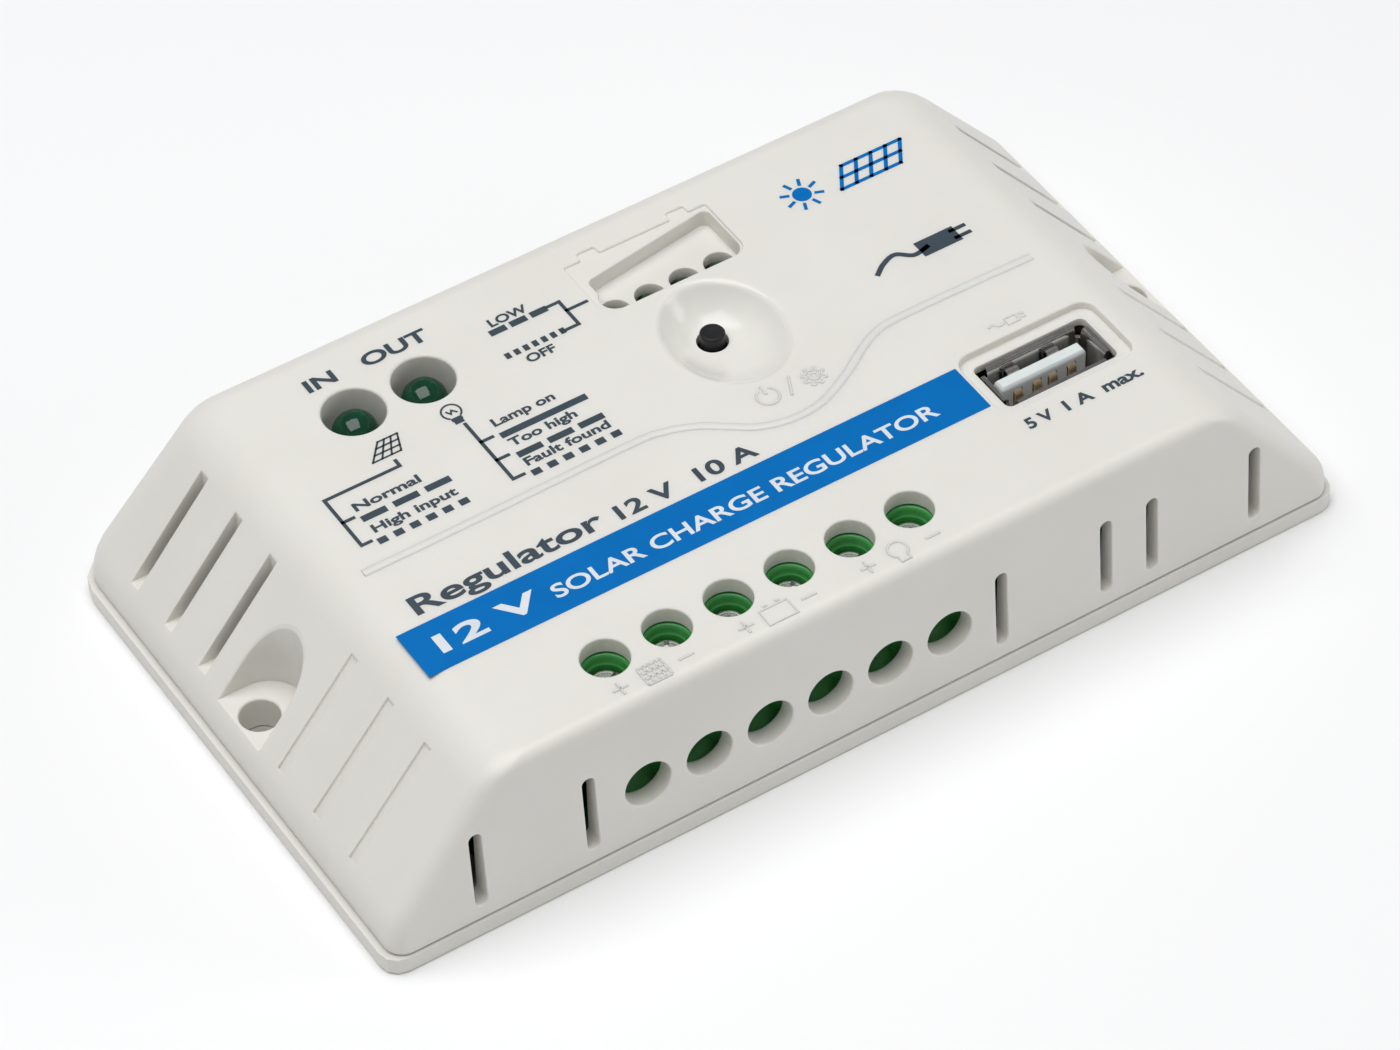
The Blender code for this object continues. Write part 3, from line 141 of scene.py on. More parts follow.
def evaluated(piece):
    graph = bpy.context.evaluated_depsgraph_get()
    return bpy.data.meshes.new_from_object(piece.evaluated_get(graph))


def settle(piece):
    mesh = evaluated(piece)
    piece.modifiers.clear()
    piece.data = mesh


def cut(piece, bm, operation="DIFFERENCE"):
    tool = newPiece("tool", bm) if isinstance(bm, bmesh.types.BMesh) else bm
    modifier = piece.modifiers.new("cut", "BOOLEAN")
    modifier.operation = operation
    modifier.solver = "EXACT"
    modifier.object = tool
    settle(piece)
    bpy.data.objects.remove(tool)


def smooth(piece, sharp=40):
    # rounded where it turns gently, with large flats kept flat
    for polygon in piece.data.polygons:
        polygon.use_smooth = True
    piece.data.set_sharp_from_angle(angle=math.radians(sharp))
    modifier = piece.modifiers.new("flatFaces", "WEIGHTED_NORMAL")
    modifier.mode = "FACE_AREA"
    modifier.keep_sharp = True
    settle(piece)


def join(name, meshes):
    bm = bmesh.new()
    for mesh in meshes:
        bm.from_mesh(mesh)
    bmesh.ops.remove_doubles(bm, verts=bm.verts, dist=1e-7)
    return newPiece(name, bm)


def dress(piece, look, body="case", stands=()):
    piece.data.materials.clear()
    piece.data.materials.append(look)
    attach(piece, body)
    if stands:
        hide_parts(*stands)


# shader groups

def shaderGroup(name, inputs, outputs):
    group = bpy.data.node_groups.new(name, "ShaderNodeTree")
    for label, kind, value in inputs:
        socket = group.interface.new_socket(label, in_out="INPUT", socket_type=kind)
        socket.default_value = value
    for label, kind in outputs:
        group.interface.new_socket(label, in_out="OUTPUT", socket_type=kind)
    nodes = group.nodes
    return group, nodes.new("NodeGroupInput").outputs, nodes.new("NodeGroupOutput").inputs


def mathNode(group, operation, first, second, clamp=False):
    node = group.nodes.new("ShaderNodeMath")
    node.operation = operation
    node.use_clamp = clamp
    for socket, value in zip(node.inputs, (first, second)):
        if isinstance(value, (int, float)):
            socket.default_value = value
        else:
            group.links.new(value, socket)
    return node.outputs[0]


def noiseNode(group, scale, detail=3.0, vector=None, roughness=0.55):
    node = group.nodes.new("ShaderNodeTexNoise")
    node.inputs["Detail"].default_value = detail
    node.inputs["Roughness"].default_value = roughness
    if isinstance(scale, (int, float)):
        node.inputs["Scale"].default_value = scale
    else:
        group.links.new(scale, node.inputs["Scale"])
    if vector is None:
        vector = group.nodes.new("ShaderNodeTexCoord").outputs["Object"]
    group.links.new(vector, node.inputs["Vector"])
    return node.outputs["Fac"]


def mixInto(group, mask, first, second, result):
    # the mask picks between two colours and goes out beside the mixed one
    mix = group.nodes.new("ShaderNodeMix")
    mix.data_type = "RGBA"
    for source, label in ((mask, "Factor"), (first, "A"), (second, "B")):
        group.links.new(source, mix.inputs[label])
    group.links.new(mix.outputs["Result"], result["Color"])
    group.links.new(mask, result["Mask"])


def makeGrainGroup():
    # fine spark-eroded mould texture
    group, given, result = shaderGroup(
        "mouldGrain", [("Grain", "NodeSocketFloat", 4000.0), ("Depth", "NodeSocketFloat", 1.0)],
        [("Height", "NodeSocketFloat"), ("Mask", "NodeSocketFloat")])
    fine = noiseNode(group, given["Grain"], 2.0)
    wide = noiseNode(group, mathNode(group, "MULTIPLY", given["Grain"], 0.11), 2.0)
    fineShare, wideShare = mathNode(group, "MULTIPLY", fine, 0.75), mathNode(group, "MULTIPLY", wide, 0.25)
    both = mathNode(group, "ADD", fineShare, wideShare)
    group.links.new(mathNode(group, "MULTIPLY", both, given["Depth"]), result["Height"])
    group.links.new(wide, result["Mask"])
    return group


def makeTintGroup():
    # slow colour drift between two shades, as resin has across a moulding
    group, given, result = shaderGroup(
        "shadeDrift", [("Light", "NodeSocketColor", (1, 1, 1, 1)), ("Dark", "NodeSocketColor", (0, 0, 0, 1)),
                       ("Patch", "NodeSocketFloat", 60.0)],
    [("Color", "NodeSocketColor"), ("Mask", "NodeSocketFloat")])
    patches = noiseNode(group, given["Patch"], 4.0)
    ramp = group.nodes.new("ShaderNodeMapRange")
    ramp.inputs["From Min"].default_value = 0.35
    ramp.inputs["From Max"].default_value = 0.65
    group.links.new(patches, ramp.inputs["Value"])
    mixInto(group, ramp.outputs["Result"], given["Light"], given["Dark"], result)
    return group


def makeWearAndHighlightGroup():
    # painted highlight along the edges, with some edge wear: brighter where the rounded normal leaves the
    # true one
    group, given, result = shaderGroup(
        "edgeWearAndPaintedHighlight", [("Color", "NodeSocketColor", (1, 1, 1, 1)), ("WornAndHighlight", "NodeSocketColor", (1, 1, 1, 1)),
                       ("Reach", "NodeSocketFloat", 0.0004), ("Amount", "NodeSocketFloat", 0.5)],
        [("Color", "NodeSocketColor"), ("Mask", "NodeSocketFloat")])
    bevel = group.nodes.new("ShaderNodeBevel")
    bevel.samples = 4
    group.links.new(given["Reach"], bevel.inputs["Radius"])
    normal = group.nodes.new("ShaderNodeNewGeometry").outputs["Normal"]
    dot = group.nodes.new("ShaderNodeVectorMath")
    dot.operation = "DOT_PRODUCT"
    group.links.new(bevel.outputs["Normal"], dot.inputs[0])
    group.links.new(normal, dot.inputs[1])
    edge = mathNode(group, "MULTIPLY", mathNode(group, "SUBTRACT", 1.0, dot.outputs["Value"]), 6.0, True)
    breakup = mathNode(group, "MULTIPLY", edge, noiseNode(group, 900.0, 3.0), True)
    mask = mathNode(group, "MULTIPLY", breakup, given["Amount"], True)
    mixInto(group, mask, given["Color"], given["WornAndHighlight"], result)
    return group


def makeBrushGroup():
    # drawn or rolled metal: fine streaks along one axis
    group, given, result = shaderGroup(
        "rolledMetal", [("Along", "NodeSocketVector", (1.0, 1.0, 0.06)),
                        ("Streaks", "NodeSocketFloat", 2500.0),
                        ("Low", "NodeSocketFloat", 0.2), ("High", "NodeSocketFloat", 0.4)],
        [("Roughness", "NodeSocketFloat"), ("Height", "NodeSocketFloat")])
    stretch = group.nodes.new("ShaderNodeVectorMath")
    stretch.operation = "MULTIPLY"
    group.links.new(group.nodes.new("ShaderNodeTexCoord").outputs["Object"], stretch.inputs[0])
    group.links.new(given["Along"], stretch.inputs[1])
    streak = noiseNode(group, given["Streaks"], 3.0, stretch.outputs["Vector"])
    reach = mathNode(group, "SUBTRACT", given["High"], given["Low"])
    rough = mathNode(group, "ADD", given["Low"], mathNode(group, "MULTIPLY", streak, reach))
    group.links.new(rough, result["Roughness"])
    group.links.new(streak, result["Height"])
    return group


grainGroup, tintGroup = makeGrainGroup(), makeTintGroup()
wearAndHighlightGroup, brushGroup = makeWearAndHighlightGroup(), makeBrushGroup()


def groupNode(tree, group, values):
    node = tree.nodes.new("ShaderNodeGroup")
    node.node_tree = group
    for label, value in values.items():
        node.inputs[label].default_value = value
    return node


def shaderOf(name, **settings):
    look = bpy.data.materials.new(name)
    look.use_nodes = True
    shader = look.node_tree.nodes["Principled BSDF"]
    for label, value in settings.items():
        shader.inputs[label].default_value = value
    return look, look.node_tree, shader


def bumpTo(tree, shader, height, strength, distance=0.00002):
    bump = tree.nodes.new("ShaderNodeBump")
    bump.inputs["Strength"].default_value = strength
    bump.inputs["Distance"].default_value = distance
    tree.links.new(height, bump.inputs["Height"])
    tree.links.new(bump.outputs["Normal"], shader.inputs["Normal"])


def plastic(name, light, dark, rough, grain=4000.0, bump=0.5, wornAndHighlightColor=None, wearHighlightAmount=0.4, patch=60.0, **settings):
    look, tree, shader = shaderOf(name, **settings)
    tint = groupNode(tree, tintGroup, {"Light": (*light, 1), "Dark": (*dark, 1), "Patch": patch})
    # edges lightened in colour: painted highlight, with some edge wear
    edgeWearAndHighlight = groupNode(tree, wearAndHighlightGroup, {"WornAndHighlight": (*(wornAndHighlightColor or light), 1), "Amount": wearHighlightAmount})
    moulded = groupNode(tree, grainGroup, {"Grain": grain})
    tree.links.new(tint.outputs["Color"], edgeWearAndHighlight.inputs["Color"])
    tree.links.new(edgeWearAndHighlight.outputs["Color"], shader.inputs["Base Color"])
    spread = tree.nodes.new("ShaderNodeMapRange")
    spread.inputs["To Min"].default_value, spread.inputs["To Max"].default_value = rough
    tree.links.new(moulded.outputs["Mask"], spread.inputs["Value"])
    tree.links.new(spread.outputs["Result"], shader.inputs["Roughness"])
    bumpTo(tree, shader, moulded.outputs["Height"], bump)
    return look


def metal(name, light, dark, rough, along=(1.0, 1.0, 0.06), bump=0.15, streaks=2500.0, **settings):
    look, tree, shader = shaderOf(name, Metallic=1.0, **settings)
    tint = groupNode(tree, tintGroup, {"Light": (*light, 1), "Dark": (*dark, 1), "Patch": 400.0})
    rolled = groupNode(tree, brushGroup, {"Along": along, "Streaks": streaks, "Low": rough[0],
                                          "High": rough[1]})
    tree.links.new(tint.outputs["Color"], shader.inputs["Base Color"])
    tree.links.new(rolled.outputs["Roughness"], shader.inputs["Roughness"])
    bumpTo(tree, shader, rolled.outputs["Height"], bump, 0.00001)
    return look


skin = {"Subsurface Weight": 0.35, "Subsurface Radius": (1.0, 0.92, 0.75), "Subsurface Scale": 0.0018}
# the lighter edge colours given below are painted highlight, with some edge wear
looks = {
    "housing": plastic("warmWhiteAbs", (0.765, 0.750, 0.700), (0.745, 0.728, 0.676), (0.34, 0.46),
                       grain=3200.0, bump=0.35, wornAndHighlightColor=(0.80, 0.785, 0.74), wearHighlightAmount=0.5, **skin),
    "dish": plastic("polishedAbs", (0.790, 0.775, 0.725), (0.770, 0.753, 0.702), (0.18, 0.26), grain=900.0,
                    bump=0.10),
    "housingBase": plastic("baseAbs", (0.755, 0.740, 0.690), (0.73, 0.712, 0.662), (0.38, 0.50), grain=3200.0,
                           bump=0.35, wornAndHighlightColor=(0.80, 0.785, 0.755), wearHighlightAmount=0.5),
    "terminal": plastic("greenPolyamide", (0.045, 0.300, 0.062), (0.032, 0.235, 0.048), (0.26, 0.40),
                        grain=2600.0, bump=0.3, wornAndHighlightColor=(0.10, 0.42, 0.12), wearHighlightAmount=0.5, patch=220.0),
    "steel": metal("nickelPlate", (0.74, 0.73, 0.71), (0.60, 0.59, 0.57), (0.16, 0.30)),
    "socketSteel": metal("socketPlate", (0.60, 0.58, 0.55), (0.48, 0.46, 0.44), (0.16, 0.24), bump=0.03),
    "screwSteel": metal("screwPlate", (0.78, 0.78, 0.76), (0.62, 0.62, 0.60), (0.20, 0.36),
                        along=(1.0, 0.2, 1.0)),
    "zinc": metal("zincPlate", (0.62, 0.63, 0.65), (0.50, 0.51, 0.53), (0.28, 0.44), along=(1.0, 0.3, 1.0)),
    "tin": metal("tinPlate", (0.80, 0.78, 0.72), (0.66, 0.63, 0.56), (0.25, 0.45)),
    "gold": metal("goldPlate", (1.00, 0.80, 0.56), (0.92, 0.68, 0.44), (0.30, 0.45)),
    "manganin": metal("bareAlloy", (0.55, 0.36, 0.22), (0.40, 0.26, 0.16), (0.30, 0.50)),
    "socket": plastic("socketNylon", (0.74, 0.78, 0.77), (0.68, 0.73, 0.72), (0.26, 0.38), grain=2600.0,
                      bump=0.2, patch=300.0),
    "spacer": plastic("plainNylon", (0.72, 0.71, 0.66), (0.66, 0.65, 0.60), (0.35, 0.5), bump=0.2,
                      patch=300.0),
    "black": plastic("blackMoulding", (0.006, 0.006, 0.007), (0.010, 0.010, 0.011), (0.42, 0.58),
                     grain=2400.0, bump=0.3,
                     wornAndHighlightColor=(0.03, 0.03, 0.033), wearHighlightAmount=0.4, patch=300.0, **{"Specular IOR Level": 0.3}),
    "lens": plastic("tintedEpoxy", (0.003, 0.120, 0.050), (0.002, 0.090, 0.036), (0.05, 0.09), grain=700.0,
                    bump=0.03, wornAndHighlightColor=(0.01, 0.16, 0.07), wearHighlightAmount=0.3, patch=300.0,
                    **{"Transmission Weight": 0.6, "IOR": 1.5}),
    "sleeve": plastic("shrinkSleeve", (0.015, 0.022, 0.070), (0.010, 0.015, 0.045), (0.18, 0.30), grain=900.0,
                      bump=0.2, patch=200.0),
    "ferrite": plastic("sinteredFerrite", (0.060, 0.060, 0.066), (0.085, 0.083, 0.086), (0.55, 0.75),
                       grain=2200.0, bump=0.9, patch=500.0),
    "board": plastic("solderMask", (0.012, 0.130, 0.050), (0.008, 0.090, 0.035), (0.20, 0.34), grain=1500.0,
                     bump=0.3, patch=180.0),
    "blueInk": plastic("blueInk", (0.000, 0.150, 0.470), (0.000, 0.138, 0.440), (0.30, 0.40), grain=5200.0,
                       bump=0.3, patch=150.0, wornAndHighlightColor=(0.0, 0.150, 0.470), **{"Specular IOR Level": 0.12}),
    "slateInk": plastic("slateInk", (0.032, 0.052, 0.070), (0.040, 0.062, 0.082), (0.32, 0.44), grain=5200.0,
                        bump=0.3, patch=300.0),
    "whiteInk": plastic("paleInk", (0.72, 0.76, 0.78), (0.66, 0.70, 0.73), (0.32, 0.44), grain=5200.0,
                        bump=0.3, patch=300.0),
    "floor": plastic("paleFloor", (0.93, 0.93, 0.93), (0.92, 0.92, 0.92), (0.55, 0.65), grain=300.0, bump=0.0,
                     patch=2.0),
}
print("finishes ready:", len(looks))


# what repeats or follows a path

def geometryTree(name, inputs):
    # returns the group's inputs, a way to add a fed node, and a way to end the tree
    tree = bpy.data.node_groups.new(name, "GeometryNodeTree")
    for label, kind, value in (("Geometry", "Geometry", None), *inputs, ("Material", "Material", None)):
        socket = tree.interface.new_socket(label, in_out="INPUT", socket_type=f"NodeSocket{kind}")
        if value is not None:
            socket.default_value = value
    tree.interface.new_socket("Geometry", in_out="OUTPUT", socket_type="NodeSocketGeometry")
    given = tree.nodes.new("NodeGroupInput").outputs

    def add(kind, feeds, operation=None):
        node = tree.nodes.new(kind)
        if operation:
            node.operation = operation
        for label, value in feeds.items():
            if isinstance(value, bpy.types.NodeSocket):
                tree.links.new(value, node.inputs[label])
            else:
                node.inputs[label].default_value = value
        return node.outputs[0]

    def end(shape):
        real = add("GeometryNodeRealizeInstances", {"Geometry": shape})
        finished = add("GeometryNodeSetMaterial", {"Geometry": real, "Material": given["Material"]})
        tree.links.new(finished, tree.nodes.new("NodeGroupOutput").inputs["Geometry"])
        return tree
    return given, add, end


def makeRidgeTree():
    # a raised line along the object's edges, flattened onto the surface under it
    given, add, end = geometryTree("ridgeLine", [("Width", "Float", 0.0004), ("Rise", "Float", 0.00015),
                                                 ("Level", "Float", 0.0218)])
    half = add("ShaderNodeMath", {0: given["Width"], 1: 0.5}, "MULTIPLY")
    spread = add("ShaderNodeCombineXYZ", {"X": half, "Y": half, "Z": half})
    ring = add("GeometryNodeCurvePrimitiveCircle", {"Resolution": 10, "Radius": 1.0})
    profile = add("GeometryNodeTransform", {"Geometry": ring, "Scale": spread})
    curve = add("GeometryNodeMeshToCurve", {"Mesh": given["Geometry"]})
    ridge = add("GeometryNodeCurveToMesh", {"Curve": curve, "Profile Curve": profile, "Fill Caps": True})
    squeeze = add("ShaderNodeMath", {0: given["Rise"], 1: half}, "DIVIDE")
    flatten = add("ShaderNodeCombineXYZ", {"X": 1.0, "Y": 1.0, "Z": squeeze})
    lift = add("ShaderNodeCombineXYZ", {"Z": given["Level"]})
    return end(add("GeometryNodeTransform", {"Geometry": ridge, "Scale": flatten, "Translation": lift}))


def makeRowTree():
    # a row of printed bars, evenly spaced
    given, add, end = geometryTree("barRow", [("Count", "Int", 3), ("Start", "Vector", (0, 0, 0)),
                                              ("Step", "Vector", (0.002, 0, 0)),
                                              ("Size", "Vector", (0.001, 0.0005, 0.00005))])
    line = add("GeometryNodeMeshLine", {"Count": given["Count"], "Start Location": given["Start"],
                                        "Offset": given["Step"]})
    bar = add("GeometryNodeMeshCube", {"Size": given["Size"]})
    return end(add("GeometryNodeInstanceOnPoints", {"Points": line, "Instance": bar}))


def grown(tree, source, values):
    holder = bpy.data.objects.new("holder", source)
    scene.collection.objects.link(holder)
    modifier = holder.modifiers.new(tree.name, "NODES")
    modifier.node_group = tree
    for item in tree.interface.items_tree:
        if item.in_out == "INPUT" and item.name in values:
            modifier[item.identifier] = values[item.name]
    mesh = evaluated(holder)
    bpy.data.objects.remove(holder)
    return mesh


ridgeTree, rowTree = makeRidgeTree(), makeRowTree()


# the case: a drafted box with blended sloping ends

baseLow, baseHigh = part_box("bottom_cover")
coverLow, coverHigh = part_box("top_cover")
top, foot = coverHigh[2], coverLow[2]
front, rear = baseLow[1], baseHigh[1]
endHalf = coverHigh[0]
caseShape = {
    "slope": math.radians(50.2), "slopeFoot": 0.0055, "shoulderBlend": 0.008, "footBlend": 0.0055,
    "frontDraft": 0.0015, "backDraft": 0.002, "frontEdge": 0.0013, "backEdge": 0.003,
    "frontCorner": 0.0022, "backCorner": 0.0042, "wall": 0.002, "frontWall": 0.0027, "holeEdge": 0.00022,
}
slopeRate = tan(caseShape["slope"])
shoulder = endHalf - (top - caseShape["slopeFoot"]) / slopeRate
ceiling = top - caseShape["wall"]


def halfLength(z):
    s = caseShape
    turn = pi / 2 - s["slope"]
    footStart = s["slopeFoot"] - s["footBlend"] * tan(turn / 2)
    run = s["shoulderBlend"] * tan(s["slope"] / 2)
    if z <= footStart:
        return endHalf
    if z <= footStart + s["footBlend"] * sin(turn):
        return endHalf - s["footBlend"] + math.sqrt(s["footBlend"] ** 2 - (z - footStart) ** 2)
    if z <= top - run * sin(s["slope"]):
        return shoulder + (top - z) / slopeRate
    rise = z - (top - s["shoulderBlend"])
    return shoulder - run + math.sqrt(max(s["shoulderBlend"] ** 2 - rise**2, 0.0))


def slopeHeight(x):
    if x > halfLength(0.010):
        return top - (x - shoulder) * slopeRate
    low, high = 0.010, top
    for _ in range(40):
        middle = (low + high) / 2
        low, high = (middle, high) if halfLength(middle) > x else (low, middle)
    return low


def edgeInset(z, radius):
    rise = max(z - (top - radius), 0.0)
    return radius - math.sqrt(max(radius**2 - rise**2, 0.0))


def frontAt(z):
    return front + caseShape["frontDraft"] * z / top


def coverRing(z):
    s = caseShape
    frontIn, backIn = edgeInset(z, s["frontEdge"]), edgeInset(z, s["backEdge"])
    half = halfLength(z)
    near, far = frontAt(z) + frontIn, rear - s["backDraft"] * z / top - backIn
    corners = [(-half, near), (half, near), (half, far), (-half, far)]
    radii = [s["frontCorner"] - frontIn] * 2 + [s["backCorner"] - backIn] * 2
    return [(x, y, z) for x, y in outline(corners, radii, steps=10)]


def coverLevels():
    s = caseShape
    turn = pi / 2 - s["slope"]
    start = max(s["slopeFoot"] - s["footBlend"] * tan(turn / 2), foot + 0.0002)
    end = start + s["footBlend"] * sin(turn)
    levels = [foot, foot + 0.00008] + [start + (end - start) * i / 10 for i in range(11)]
    edge = top - s["backEdge"]
    levels += [end + (edge - end) * i / 8 for i in range(1, 8)]
    return levels + [edge + s["backEdge"] * sin(pi / 2 * i / 24) for i in range(25)]


def onTop(u, v, depth):
    return (u, v, top - depth)


def onFront(u, v, depth):
    return (u, frontAt(v) + depth, v)


def onSlope(side, floor=0.0):
    def place(u, v, depth):
        lowest = floor + max(0.0, 0.00001 * (1 - depth * 1000))
        return (side * u, v, max(slopeHeight(u) - depth, lowest))
    return place


def centreOf(node):
    low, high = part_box(node)
    return ((low[0] + high[0]) / 2, (low[1] + high[1]) / 2)


poles = [centreOf(f"terminal_screw_{i}") for i in range(1, 7)]
lampPlaces = [centreOf("pv_led"), centreOf("load_led")]
gaugePlaces = [centreOf(f"gauge_led_{i}") for i in range(1, 5)]
buttonPlace, usbPlace = centreOf("button"), centreOf("usb_shell")
usbOpening = {"recess": (0.01745, 0.0097), "recessDepth": 0.001, "recessCorner": 0.0018,
              "opening": (0.0145, 0.0070), "openingCorner": 0.0008}
dish = {"centre": (0.0075, 0.0078), "halfWidth": 0.0067, "halfDepth": 0.0082, "sink": 0.0035,
        "rim": 0.0005, "hole": 0.0018}
gauge = {"centre": 0.00745, "front": 0.0170, "back": 0.0257, "width": 0.0183, "depth": 0.00035,
         "pocket": 0.0025,
         "pocketLeft": 0.0012, "pocketRim": 0.00022, "pocketDepths": (0.0058, 0.0083), "corner": 0.0016,
         "poleMark": (0.0023, 0.0011), "poleOffset": 0.00575, "hole": 0.0035}
holes = {"screw": 0.00528, "wire": 0.00556, "wireHeight": 0.00952, "lamp": 0.00704, "ventWidth": 0.0015,
         "ventLow": 0.00424, "ventHigh": 0.01442, "collar": 0.0009, "collarLow": 0.0145,
         "lampSeat": 0.0062, "lampFloor": 0.0160}
ventPlaces = [-shoulder - 0.00298, shoulder + 0.00298, poles[0][0] - 0.00697, poles[-1][0] + 0.00663,
              shoulder - 0.01652, shoulder - 0.01052]
endVents = {"first": 0.00837, "pitch": 0.00727, "count": 3, "drop": 0.00295, "low": 0.0072, "width": 0.0015,
            "grooveWidth": 0.0013, "grooveDepth": 0.0005}
mount = {"spacing": 0.1115, "hole": 0.0045, "floor": 0.00665, "width": 0.00857, "backset": 0.00095,
         "wall": 0.0015}
boss = {"x": 0.0526, "diameter": 0.0056, "y": 0.0282}


def dishRing(share, grow=0.0):
    keep = 1 - share
    wide = dish["hole"] + (dish["halfWidth"] - dish["hole"]) * keep + grow
    deep = dish["hole"] + (dish["halfDepth"] - dish["hole"]) * keep + grow
    middle = dish["centre"][1] + (buttonPlace[1] - dish["centre"][1]) * share
    z = top - dish["sink"] * (1 - keep**2)
    angles = [2 * pi * i / 72 for i in range(72)]
    return [(dish["centre"][0] + wide * cos(a), middle + deep * sin(a), z) for a in angles]


def dishTool():
    rings = [[(x, y, top - dish["sink"] - 0.003) for x, y, _ in dishRing(1.0)]]
    rings += [dishRing(1 - i / 26) for i in range(26)]
    for i in range(1, 6):  # the rim turns over into the top in a soft round
        share = i / 5
        ring = dishRing(0.0, dish["rim"] * share**1.6)
        drop = 0.00022 * (1 - share) ** 1.4
        rings.append([(x, y, top - drop + (0.000004 if share == 1 else 0)) for x, y, _ in ring])
    # the top of the bowl is lowered to meet the round
    rings[26] = [(x, y, top - 0.00030) for x, y, _ in rings[26]]
    rings.append([(x, y, top + 0.001) for x, y, _ in rings[-1]])
    bm = bmesh.new()
    loft(bm, rings)
    return bm


def gaugeCorners():
    g = gauge
    left, right = g["centre"] - g["width"] / 2, g["centre"] + g["width"] / 2
    corners = [(left, g["front"]), (right, g["front"]), (right, g["back"])]
    for middle in (g["centre"] + g["poleOffset"], g["centre"] - g["poleOffset"]):
        near, far = middle + g["poleMark"][0] / 2, middle - g["poleMark"][0] / 2
        tip = g["back"] + g["poleMark"][1]
        corners += [(near, g["back"]), (near, tip), (far, tip), (far, g["back"])]
    return corners + [(left, g["back"])]


def cavityTool():
    wall = caseShape["wall"]
    run = endHalf - wall - shoulder + wall / sin(caseShape["slope"])
    corner = top - run * slopeRate
    heights = [foot - 0.001, corner, ceiling]
    right = []
    for z in heights:
        reach = min(endHalf - wall, shoulder + (top - z) / slopeRate - wall / sin(caseShape["slope"]))
        right.append((reach, z))
    section = right + [(-x, z) for x, z in reversed(right)]
    bm = bmesh.new()
    innerFront, innerBack = front + caseShape["frontWall"], rear - caseShape["frontWall"]
    loft(bm, [[(x, y, z) for x, z in section] for y in (innerFront, innerBack)])
    space = newPiece("space", bm)
    kept = bmesh.new()
    low, high = foot - 0.002, ceiling + 0.001
    for side in (-1, 1):
        inner = mount["spacing"] / 2 - mount["backset"] - mount["width"] / 2 - mount["wall"]
        ends = sorted((side * inner, side * 0.0602))
        half = mount["width"] / 2 + mount["wall"]
        slab(kept, (ends[0], -half, low), (ends[1], half, high))
        for y in (-boss["y"], boss["y"]):
            turned(kept, [(boss["diameter"] / 2, z) for z in (low, high)], (side * boss["x"], y), 32)
    ring = dishRing(0.0, 0.0013)
    floorUnder = top - dish["sink"] - 0.0013
    loft(kept, [[(x, y, z) for x, y, _ in ring] for z in (floorUnder, high)])
    cut(space, kept)
    pad = bmesh.new()
    middle = (gauge["front"] + gauge["back"]) / 2
    size = (gauge["width"] + 0.003, gauge["back"] - gauge["front"] + 0.003)
    under = top - gauge["pocket"] - 0.0015
    plan = rectangle((gauge["centre"], middle), size, 0.0001, steps=1)
    loft(pad, [[(x, y, z) for x, y in plan] for z in (under, high)])
    cut(space, pad)
    return space


